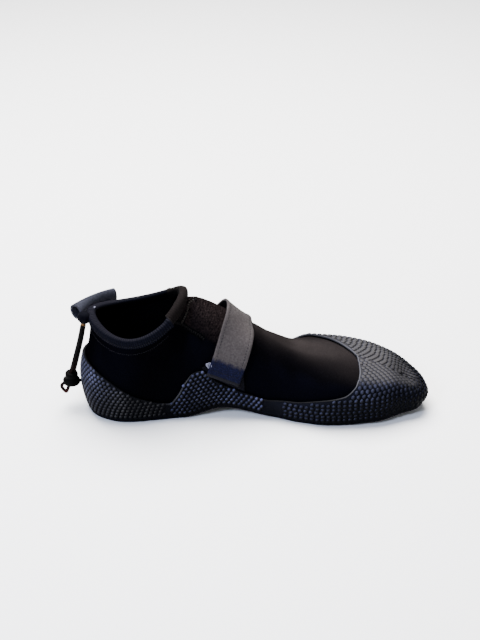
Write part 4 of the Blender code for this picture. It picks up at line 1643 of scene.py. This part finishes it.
def panel_edge(along):
    """Share of the wall where the instep panel's lower seam runs."""
    for (start, high), (end, low) in zip(PANEL_SEAM, PANEL_SEAM[1:]):
        if start <= along <= end:
            return high + (low - high) * (along - start) / (end - start)
    return 2.0 if along < PANEL_SEAM[0][0] else PANEL_SEAM[-1][1]


def below_collar(side, turn, drop):
    """Share of the wall at a distance below the collar's edge."""
    t, reach = 1.0, 0.0
    before = wall_point(side, turn, 1)
    while reach < drop and t > 0.5:
        t -= 0.005
        after = wall_point(side, turn, t)
        reach += (after - before).length
        before = after
    return t


class BOOTIE_OT_upper(bpy.types.Operator):
    """Neoprene upper with its lining, soft creases and ribbed instep panel."""

    bl_idname = "bootie.upper"
    bl_label = "Upper"

    def execute(self, context):
        creases = [
            (
                crease,
                wall_point(crease.side, turn_of(crease.from_along), crease.from_t),
                wall_point(crease.side, turn_of(crease.to_along), crease.to_t),
            )
            for crease in CREASES
        ]

        def place(column, row):
            side, turn = column_place(column)
            t = row / UPPER_ROWS
            point = wall_point(side, turn, t)
            depth = crease_depth(creases, point)
            return point - wall_normal(side, turn, t) * depth if depth else point

        def spread(column, row):
            side, turn = column_place(column)
            return side * along_of(turn), row / UPPER_ROWS

        form = bmesh.new()
        lay_grid(form, 2 * SIDE_COLUMNS, UPPER_ROWS, place, spread)
        self.mark(form)
        weld(form)
        face_away(form, INSIDE_SHOE)
        upper = add_piece("neoprene_upper", form, finish_of(context, "neoprene"), "upper")
        upper.data.materials.append(finish_of(context, "lining"))
        thicken(upper, UPPER_WALL, -1, inner_slot=1)
        return {"FINISHED"}

    def mark(self, form):
        """Writes each vertex's distance from the collar, its share of the panel and the strength of its
        painted top light.
        """
        edge = [top_point(side, THROAT_TURN * k / 200) for side in (INNER, OUTER) for k in range(201)]
        tree = point_tree(edge)
        chart = form.loops.layers.uv.verify()
        distance = form.verts.layers.float.new("hem_distance")
        panel = form.verts.layers.float.new("panel")
        crest = form.verts.layers.float.new("crest")
        for vertex in form.verts:
            flat = vertex.link_loops[0][chart].uv
            vertex[distance] = tree.find(vertex.co)[2]
            along = abs(flat.x)
            inside = smoothstep(0.0, PANEL_EDGE_SOFT, flat.y - panel_edge(along))
            end = PANEL_END + PANEL_END_SHIFT * smoothstep(0.4, 1.0, flat.y)
            vertex[panel] = inside * (1 - smoothstep(end, end + PANEL_END_SOFT, along))
            # Strength of the painted top light, kept in the crest mark
            side, turn = (INNER if flat.x < 0 else OUTER), turn_of(along)
            gap = (vertex.co - top_point(side, turn)).length
            if side == INNER:
                strength = math.exp(-gap / TOP_LIGHT_REACH(turn))
            else:
                strength = 1 + OUTER_GAIN * (1 - math.exp(-gap / OUTER_RISE))
                strength *= 1 - OUTER_LOSS * smoothstep(OUTER_LOSS_FROM, OUTER_LOSS_TO, gap)
            vertex[crest] = TOP_LIGHT_PEAK(turn) * strength


class BOOTIE_OT_seams(bpy.types.Operator):
    """Sewn seams of the upper: round the collar, beside the front hem and along the instep panel."""

    bl_idname = "bootie.seams"
    bl_label = "Seams"

    def execute(self, context):
        pitch = context.scene.bootie_sizes.stitch_pitch
        zigzag, chain, panel_chain, edges = (bmesh.new() for _ in range(4))
        for side in (INNER, OUTER):
            collar = []
            for k in range(HEM_SEAM_STEPS):
                turn = THROAT_TURN * k / COLLAR_STEPS
                collar.append(wall_spot(side, turn, below_collar(side, turn, HEM_SEAM_DROP)))
            sew(zigzag, collar, pitch, pitch * 0.85, ZIGZAG_WIDTH, ZIGZAG_SLANT)
            panel = wall_line(side, PANEL_SEAM[:PANEL_SEWN_ROWS])
            for seam, line in ((panel_chain, panel), (chain, self.front_line(side))):
                sew(seam, line, pitch * 1.1, pitch * 1.05, CHAIN_WIDTH, CHAIN_SLANT)
                for beside in (-CHAIN_EDGE, CHAIN_EDGE):
                    sew(edges, line, pitch, pitch * 1.4, CHAIN_EDGE_WIDTH, 0.0, beside)
        for name, form, looks in (
            ("upper_zigzag", zigzag, "thread"),
            ("upper_chain", chain, "chain_thread"),
            ("upper_panel_chain", panel_chain, "seam_thread"),
            ("upper_seam_edges", edges, "lining"),
        ):
            match_faces(form)
            add_piece(name, form, finish_of(context, looks))
        return {"FINISHED"}

    def front_line(self, side):
        """Points and normals of the seam before the thicker front hem, from its joint up to the ridge."""
        nearest = wall_finder(side, THROAT_TURN - 0.06, THROAT_TURN + 0.04, 0.55)
        line = []
        for k in range(FRONT_SEAM_START, COLLAR_STEPS + 1):
            here, before = (top_point(side, THROAT_TURN * step / COLLAR_STEPS) for step in (k, k - 1))
            normal = nearest(here)[1]
            away = (here - before).cross(normal).normalized()
            if away.x < 0:
                away = -away
            aim = here + away * FRONT_SEAM_DROP
            point, normal = nearest(aim)
            line.append((aim - normal * (aim - point).dot(normal), normal))
        return line


class BOOTIE_OT_insole(bpy.types.Operator):
    """Foam insole with a cloth face and a raised edge."""

    bl_idname = "bootie.insole"
    bl_label = "Insole"

    def execute(self, context):
        def place(column, row):
            across = 2 * row / INSOLE_ROWS - 1
            side = INNER if across < 0 else OUTER
            spot = tread_line(TURNS[column], -UPPER_WALL - INSOLE_GAP, abs(across), side)
            return spot + UP * (SOLE_THICKNESS + GAP)

        form = bmesh.new()
        lay_grid(form, SIDE_COLUMNS, INSOLE_ROWS, place)
        weld(form)
        face_away(form, Vector((0.13, 0, -0.1)))
        insole = add_piece("insole_sheet", form, finish_of(context, "insole"), "insole")
        thicken(insole, INSOLE_THICKNESS, 1)
        return {"FINISHED"}


# ---------------------------------------------------------------------------------------------------------
# Hem round the collar

HEM_GAP = 0.0003
HEM_RIDE = 0.0034
HEM_COLUMNS = 560
HEM_SIDES = 20
COLLAR_MIDDLE = Vector((0.045, 0, 0.08))

# Places on the hem and their reaches, shares of the way round it from the throat along the inner side
FRONT_JOINT = 0.123
BACK_JOINT = 0.512
THREAD_END = 0.508
JOINT_SOFT = 0.004
JOINT_SHIFT = 0.006
JOINT_REACH = 0.007
BACK_JOINT_REACH = 0.010
BACK_FROM, BACK_TO = 0.06, 0.22

# Half width of the hem, and how much wider, taller, further in and lower it is in places
HEM_WIDE = 0.0026
HEM_WIDER_FRONT = 0.0009
HEM_WIDER_JOINT = 0.0004
HEM_WIDER_BACK = 0.0010
HEM_TALLER_JOINT = 0.0005
HEM_TALLER_BACK = 0.0007
HEM_IN_FRONT = 0.0024
HEM_IN_BACK = 0.0012
HEM_DROP_FRONT = 0.0010
HEM_DROP_LOWER = 0.0007
HEM_RIPPLE = 0.15
HEM_BOXY = 0.12

# Stitches: length, width and height; their place on the hem; and the turns and shifts of the thread end's own
HEM_STITCH = (0.0018, 0.0006, 0.0005)
HEM_STITCH_OUT = 0.0024
HEM_STITCH_DOWN = 0.0017
THREAD_SHIFT = Vector((0.0034, 0.0008, -0.0003))
THREAD_STITCH = (0.0022, 0.0009, 0.0010)
THREAD_STITCHES = ((0.4, -0.0009), (-0.7, 0.0), (1.3, 0.0008), (2.2, 0.0002))


def line_frame(line, k):
    """Directions ahead and up at one point of a closed line."""
    ahead = (line[(k + 1) % len(line)] - line[k - 1]).normalized()
    return ahead, (UP - ahead * ahead.z).normalized()


def collar_line(columns):
    """Middle of the hem: a closed line that rides on the upper's top edge, from the throat round the heel."""
    edge = []
    for column in range(2 * columns):
        side = INNER if column < columns else OUTER
        turn = THROAT_TURN * abs(column / columns - 1)
        inwards = -outward(side, turn) * math.sin(math.pi * turn / THROAT_TURN)
        edge.append(top_point(side, turn) + inwards * UPPER_WALL / 2)
    line = []
    for column, place in enumerate(edge):
        _, lift = line_frame(edge, column)
        line.append(place + lift * (HEM_RIDE + HEM_GAP))
    return line


def front_share(share):
    """1 on the thicker front hem, 0 on the sides and back."""
    reach = min(share, 1 - share)
    return 1 - smoothstep(FRONT_JOINT - JOINT_SOFT, FRONT_JOINT + JOINT_SOFT, reach)


class BOOTIE_OT_hem(bpy.types.Operator):
    """Folded hem round the ankle, gathered at the sides and thicker at the throat, with its stitches."""

    bl_idname = "bootie.hem"
    bl_label = "Hem"

    def execute(self, context):
        sizes = context.scene.bootie_sizes
        line = collar_line(HEM_COLUMNS)
        round_length = sum((line[k] - line[k - 1]).length for k in range(len(line)))
        gathers = round(round_length / sizes.gather_pitch)

        def wave(share):
            return math.sin(2 * math.pi * share * gathers + 1.3 * noise.noise((share * 90, 0, 0)))

        def profile(share, angle):
            front = front_share(share)
            tall = sizes.hem_half + (sizes.hem_front - sizes.hem_half) * front
            joint_gap = min(share, 1 - share) - FRONT_JOINT - JOINT_SHIFT
            joint = math.exp(-((joint_gap / JOINT_REACH) ** 2))
            lump = math.exp(-(((share - BACK_JOINT) / BACK_JOINT_REACH) ** 2))
            tall += HEM_TALLER_JOINT * joint + HEM_TALLER_BACK * lump
            outer, lower = max(0, -math.cos(angle)), smoothstep(0.5, -0.7, math.sin(angle))
            back = 1 - smoothstep(BACK_FROM, BACK_TO, abs(share - 0.5))
            wide = HEM_WIDE + HEM_WIDER_FRONT * front + HEM_WIDER_JOINT * joint + HEM_WIDER_BACK * back
            wide *= 1 - 0.18 * lower * (1 - front)
            uneven = 0.6 + 0.6 * noise.noise((share * 40, 3, 0))
            ripple = 1 + HEM_RIPPLE * wave(share) * uneven * (0.15 + 0.85 * lower) * (1 - 0.75 * front)
            boxy = 1 + HEM_BOXY * math.sin(2 * angle) ** 2
            rise = tall * math.sin(angle) * ripple * boxy
            rise -= HEM_DROP_FRONT * front * outer + HEM_DROP_LOWER * lower
            inwards = HEM_IN_FRONT * front + HEM_IN_BACK * back
            return rise, wide * math.cos(angle) * ripple * boxy + inwards

        # gather sets the painted light and shade of the gathers, inner the painted shade on the hem's inner
        # face
        def gather(share, angle):
            return 0.5 + 0.5 * wave(share) * (1 - 0.6 * front_share(share))

        def inner(share, angle):
            return smoothstep(0.25, 0.85, math.cos(angle)) * smoothstep(0.80, 0.25, math.sin(angle))

        form = bmesh.new()
        marks = {"front": lambda share, angle: front_share(share), "inner": inner, "gather": gather}
        lay_tube(form, line, HEM_SIDES, profile, closed=True, marks=marks)
        weld(form)
        close_outwards(form)
        add_piece("collar_hem", form, finish_of(context, "hem"), "collar_binding")
        self.add_stitches(context, line)
        self.add_thread_end(context, line)
        return {"FINISHED"}

    def add_stitches(self, context, line):
        """Slanted stitches along the lower outer edge of the hem, except its front."""
        sizes = context.scene.bootie_sizes
        form = bmesh.new()
        edge = []
        for k, place in enumerate(line):
            if front_share(k / len(line)) > 0.5:
                continue
            ahead, lift = line_frame(line, k)
            across = ahead.cross(lift)
            if across.dot(place - COLLAR_MIDDLE) < 0:
                across = -across
            normal = (across * 0.92 - lift * 0.40).normalized()
            edge.append((place + across * HEM_STITCH_OUT - lift * HEM_STITCH_DOWN, normal))
        places = []
        for point, normal, ahead in even_steps(edge, sizes.gather_pitch):
            along = normal.cross(ahead).normalized() * 0.93 + ahead * 0.37
            places.append(standing(point, normal, along, HEM_STITCH))
        stamp(form, stitch_shape(), places)
        match_faces(form)
        add_piece("hem_stitches", form, finish_of(context, "thread"))

    def add_thread_end(self, context, line):
        """Knotted light thread where the hem is closed at the back."""
        k = round(THREAD_END * len(line))
        ahead, lift = line_frame(line, k)
        spot = line[k] + lift * (context.scene.bootie_sizes.hem_half + 0.0004) + THREAD_SHIFT
        places = []
        for turn, shift in THREAD_STITCHES:
            along = Matrix.Rotation(turn, 3, lift) @ ahead
            places.append(standing(spot + ahead * shift, lift, along, THREAD_STITCH))
        form = bmesh.new()
        stamp(form, stitch_shape(), places)
        match_faces(form)
        add_piece("hem_thread_end", form, finish_of(context, "light_thread"))


# ---------------------------------------------------------------------------------------------------------
# Strap, patch and pull loop

# Strap: its distance from the upper, its places as along and as a share of the wall, and its details
STRAP_STANDOFF = 0.0029
STRAP_SEWN = 0.0008
STRAP_LOFT = 0.0004
STRAP_TOP = 0.478
STRAP_FOOT = 0.404
STRAP_BEND = 2.0
STRAP_TILT = 0.0026
STRAP_END = {INNER: 0.20, OUTER: 0.36}
STRAP_LEVEL = Vector((1, 0, 0.1)).normalized()
STRAP_SELVEDGE = 0.00030
STRAP_FOLD = 0.0006
STRAP_EDGE_SEAM = 0.80
STRAP_CROSS_SEAMS = (-0.975, -0.925, 0.90, 0.97)
STRAP_STITCH_WIDTH = 0.0005
WALL_RUN = 0.03
STRAP_COLUMNS = 120
STRAP_ROWS = 20

# Patch under the strap's inner end, and the frayed tab beside it, placed along the strap
PATCH_WIDTH = 0.0320
PATCH_MIDDLE = 0.410
PATCH_TOP = 0.31
PATCH_THICKNESS = 0.0016
PATCH_STEPS = 28
TAB_TOP = -0.87
TAB_FOOT = -0.93
TAB_WIDTH = 0.0046
TAB_COLUMNS, TAB_ROWS = 12, 10
TAB_THICKNESS = 0.0006

# Pull loop: stations from its open mouth to its far end, with the roll's middle, half depth and half height,
# and the foot of the strip's tail
Roll = namedtuple("Roll", "middle depth height foot")
ROLL = (
    Roll(Vector((-0.0010, 0.0052, 0.0800)), 0.0060, 0.0056, Vector((0.0030, -0.0010, 0.0742))),
    Roll(Vector((0.0110, 0.0212, 0.0790)), 0.0030, 0.0062, Vector((0.0105, 0.0172, 0.0735))),
    Roll(Vector((0.0270, 0.0346, 0.0780)), 0.0026, 0.0054, Vector((0.0225, 0.0300, 0.0728))),
)
LOOP_THICKNESS = 0.0014
LOOP_COLUMNS = 32
LOOP_TAIL_ROWS = 10
LOOP_ROUND_ROWS = 48
LOOP_START = math.radians(-66)
LOOP_SWEEP = math.radians(340)
LOOP_LENGTH = 0.038
LOOP_STRIP = 0.030


def strap_route(s):
    """Side, along and t of the strap's middle, s from -1 at its inner end over the ridge to 1."""
    side = INNER if s < 0 else OUTER
    along = STRAP_TOP + (STRAP_FOOT - STRAP_TOP) * abs(s) ** STRAP_BEND
    return side, along, 1 - abs(s) * (1 - STRAP_END[side])


@lru_cache(maxsize=None)
def strap_line(s):
    """Middle of the strap's lower face."""
    side, along, t = strap_route(s)
    offset = STRAP_STANDOFF + STRAP_LOFT * math.cos(math.pi * s / 2) ** 2
    return wall_point(side, turn_of(along), t, offset)


def wall_run(along, t):
    """Direction of the outer wall towards the toe, over about the strap's width."""
    rear, front = (wall_point(OUTER, turn_of(along + step), t) for step in (-WALL_RUN, WALL_RUN))
    return (front - rear).normalized()


@lru_cache(maxsize=None)
def strap_frame(s):
    """Directions along, across and out of the strap."""
    step = 0.02
    ahead = (strap_line(min(s + step, 1)) - strap_line(max(s - step, -1))).normalized()
    slope = wall_run(STRAP_TOP, 1)
    if s < 0:
        across = slope.lerp(STRAP_LEVEL, smoothstep(0.10, 0.75, -s))
    else:
        _, along, t = strap_route(s)
        across = slope.lerp(wall_run(along, t), smoothstep(0.10, 0.50, s))
    across = (across - ahead * across.dot(ahead)).normalized()
    return ahead, across, across.cross(ahead)


@lru_cache(maxsize=None)
def outer_wall():
    return wall_finder(OUTER, turn_of(STRAP_FOOT - 0.08), turn_of(STRAP_TOP + 0.08), 0.10)


def strap_spot(s, share, half, rise):
    """Place and outward direction on the strap, share from rear to front edge, rise above its back."""
    _, across, out = strap_frame(s)
    tilt = -STRAP_TILT * (share + 0.2) * math.cos(math.pi * s / 2) ** 4
    spot = strap_line(s) + across * half * share + out * tilt
    sewn = smoothstep(0.20, 0.80, s)
    if sewn:
        point, normal = outer_wall()(spot)
        gap = (spot - point).dot(normal)
        spot += normal * (STRAP_STANDOFF + (STRAP_SEWN - STRAP_STANDOFF) * sewn - gap) * sewn
    return spot + out * rise, out


@lru_cache(maxsize=None)
def strap_reach(column):
    """Signed distance along the strap from the ridge to a column."""
    half = STRAP_COLUMNS // 2
    if column == half:
        return 0.0
    way = 1 if column > half else -1
    here, there = (2 * k / STRAP_COLUMNS - 1 for k in (column, column - way))
    return strap_reach(column - way) + way * (strap_line(here) - strap_line(there)).length


class BOOTIE_OT_strap(bpy.types.Operator):
    """Webbing strap over the instep with its selvedges, sewn ends and the pile patch under its inner end."""

    bl_idname = "bootie.strap"
    bl_label = "Strap"

    def execute(self, context):
        sizes = context.scene.bootie_sizes
        width = sizes.strap_width

        def place(column, row):
            s = 2 * column / STRAP_COLUMNS - 1
            share = 2 * row / STRAP_ROWS - 1
            selvedge = STRAP_SELVEDGE * math.exp(-(((abs(share) - 0.90) / 0.07) ** 2))
            fold = STRAP_FOLD * smoothstep(-0.90, -0.94, s)
            return strap_spot(s, share, width / 2, selvedge + fold)[0]

        def spread(column, row):
            return strap_reach(column), width * (row / STRAP_ROWS - 0.5)

        form = lay_sheet(STRAP_COLUMNS, STRAP_ROWS, place, spread)
        strap = add_piece("instep_webbing", form, finish_of(context, "webbing"), "instep_strap")
        strap.data.materials.append(finish_of(context, "pile"))
        thicken(strap, sizes.strap_thickness, 1, inner_slot=1)
        self.add_stitches(context)
        self.add_tab(context)
        self.add_patch(context)
        return {"FINISHED"}

    def add_tab(self, context):
        """Frayed light corner of the strap's hook end, which shows beside its rear edge."""
        half = context.scene.bootie_sizes.strap_width / 2

        def place(column, row):
            u, v = column / TAB_COLUMNS, row / TAB_ROWS
            s = TAB_TOP + (TAB_FOOT - TAB_TOP) * v
            _, across, out = strap_frame(s)
            ragged = 0.0012 * noise.noise((v * 4.0, u * 2.0, 2.0)) * u
            reach = half - 0.0012 + (TAB_WIDTH * (0.55 + 0.45 * math.sin(math.pi * v)) + ragged) * u
            rise = 0.0010 + 0.0010 * math.sin(2.4 * math.pi * u + 3 * v) * (1 - 0.5 * u) - 0.0012 * u
            return strap_line(s) - across * reach + out * rise

        form = lay_sheet(TAB_COLUMNS, TAB_ROWS, place)
        tab = add_piece("strap_tab", form, finish_of(context, "light_thread"))
        thicken(tab, TAB_THICKNESS, 0)

    def add_stitches(self, context):
        sizes = context.scene.bootie_sizes
        rise = sizes.strap_thickness + 0.0001
        form = bmesh.new()

        def spot(s, share):
            return strap_spot(s, share, sizes.strap_width / 2, rise)

        for share in (-STRAP_EDGE_SEAM, STRAP_EDGE_SEAM):
            line = [spot(-1 + 2 * k / 160, share) for k in range(3, 158)]
            sew(form, line, 0.0024, 0.0018, STRAP_STITCH_WIDTH)
        for s in STRAP_CROSS_SEAMS:
            line = [spot(s, -0.86 + 1.72 * k / 40) for k in range(41)]
            line = [(point + out * STRAP_FOLD, out) if s < -0.9 else (point, out) for point, out in line]
            sew(form, line, 0.0019, 0.0015, STRAP_STITCH_WIDTH)
        match_faces(form)
        add_piece("strap_stitches", form, finish_of(context, "thread"))

    def add_patch(self, context):
        half_along = PATCH_WIDTH / BASE_LENGTH / 2

        def place(column, row):
            along = PATCH_MIDDLE + half_along * (2 * column / PATCH_STEPS - 1)
            low = RIM_SHARE[INNER](turn_of(along)) + 0.02
            t = low + (PATCH_TOP - low) * row / PATCH_STEPS
            return wall_point(INNER, turn_of(along), t, GAP)

        form = lay_sheet(PATCH_STEPS, PATCH_STEPS, place)
        patch = add_piece("strap_base", form, finish_of(context, "pile"), "strap_patch")
        thicken(patch, PATCH_THICKNESS, 1)


class BOOTIE_OT_pull_loop(bpy.types.Operator):
    """Strip rolled over behind the hem, open at its near end."""

    bl_idname = "bootie.pull_loop"
    bl_label = "Pull loop"

    def execute(self, context):
        run = (ROLL[-1].middle - ROLL[0].middle).normalized()
        inwards = run.cross(UP).normalized()
        rows = LOOP_TAIL_ROWS + LOOP_ROUND_ROWS

        def along_roll(name, share):
            near, middle, far = (getattr(row, name) for row in ROLL)
            near = near * (1 - share) * (1 - 2 * share)
            return near + middle * 4 * share * (1 - share) + far * share * (2 * share - 1)

        def place(column, row):
            share = column / LOOP_COLUMNS
            angle = LOOP_START + LOOP_SWEEP * max(0, row - LOOP_TAIL_ROWS) / LOOP_ROUND_ROWS
            ring = along_roll("middle", share)
            ring = ring + inwards * along_roll("depth", share) * math.cos(angle)
            ring = ring + UP * along_roll("height", share) * math.sin(angle)
            return along_roll("foot", share).lerp(ring, min(1, row / LOOP_TAIL_ROWS))

        def spread(column, row):
            return LOOP_LENGTH * column / LOOP_COLUMNS, LOOP_STRIP * row / rows

        form = bmesh.new()
        lay_grid(form, LOOP_COLUMNS, rows, place, spread)
        match_faces(form)
        loop = add_piece("pull_strip", form, finish_of(context, "loop_strip"), "pull_loop")
        thicken(loop, LOOP_THICKNESS, 0)
        return {"FINISHED"}


# ---------------------------------------------------------------------------------------------------------
# Add-on

OPERATORS = (
    BOOTIE_OT_stage,
    BOOTIE_OT_drawcord,
    BOOTIE_OT_rubber,
    BOOTIE_OT_upper,
    BOOTIE_OT_seams,
    BOOTIE_OT_insole,
    BOOTIE_OT_hem,
    BOOTIE_OT_strap,
    BOOTIE_OT_pull_loop,
)


class BOOTIE_PT_panel(bpy.types.Panel):
    """Lists the bootie's pieces, sizes and colours."""

    bl_idname = "BOOTIE_PT_panel"
    bl_label = "Wetsuit bootie"
    bl_space_type = "VIEW_3D"
    bl_region_type = "UI"
    bl_category = "Bootie"

    def draw(self, context):
        for operator in OPERATORS:
            self.layout.operator(operator.bl_idname)
        for group in (context.scene.bootie_sizes, context.scene.bootie_colours):
            for name in group.bl_rna.properties.keys():
                if name not in ("rna_type", "name"):
                    self.layout.prop(group, name)


CLASSES = (BootieSizes, BootieColours, *OPERATORS, BOOTIE_PT_panel)


def register():
    for made in CLASSES:
        bpy.utils.register_class(made)
    bpy.types.Scene.bootie_sizes = PointerProperty(type=BootieSizes)
    bpy.types.Scene.bootie_colours = PointerProperty(type=BootieColours)


def unregister():
    del bpy.types.Scene.bootie_colours
    del bpy.types.Scene.bootie_sizes
    for made in reversed(CLASSES):
        bpy.utils.unregister_class(made)


def main():
    register()
    bpy.ops.bootie.stage()
    bpy.ops.bootie.drawcord()
    bpy.ops.bootie.rubber()
    bpy.ops.bootie.upper()
    bpy.ops.bootie.seams()
    bpy.ops.bootie.insole()
    bpy.ops.bootie.hem()
    bpy.ops.bootie.strap()
    bpy.ops.bootie.pull_loop()


if __name__ == "__main__":
    main()
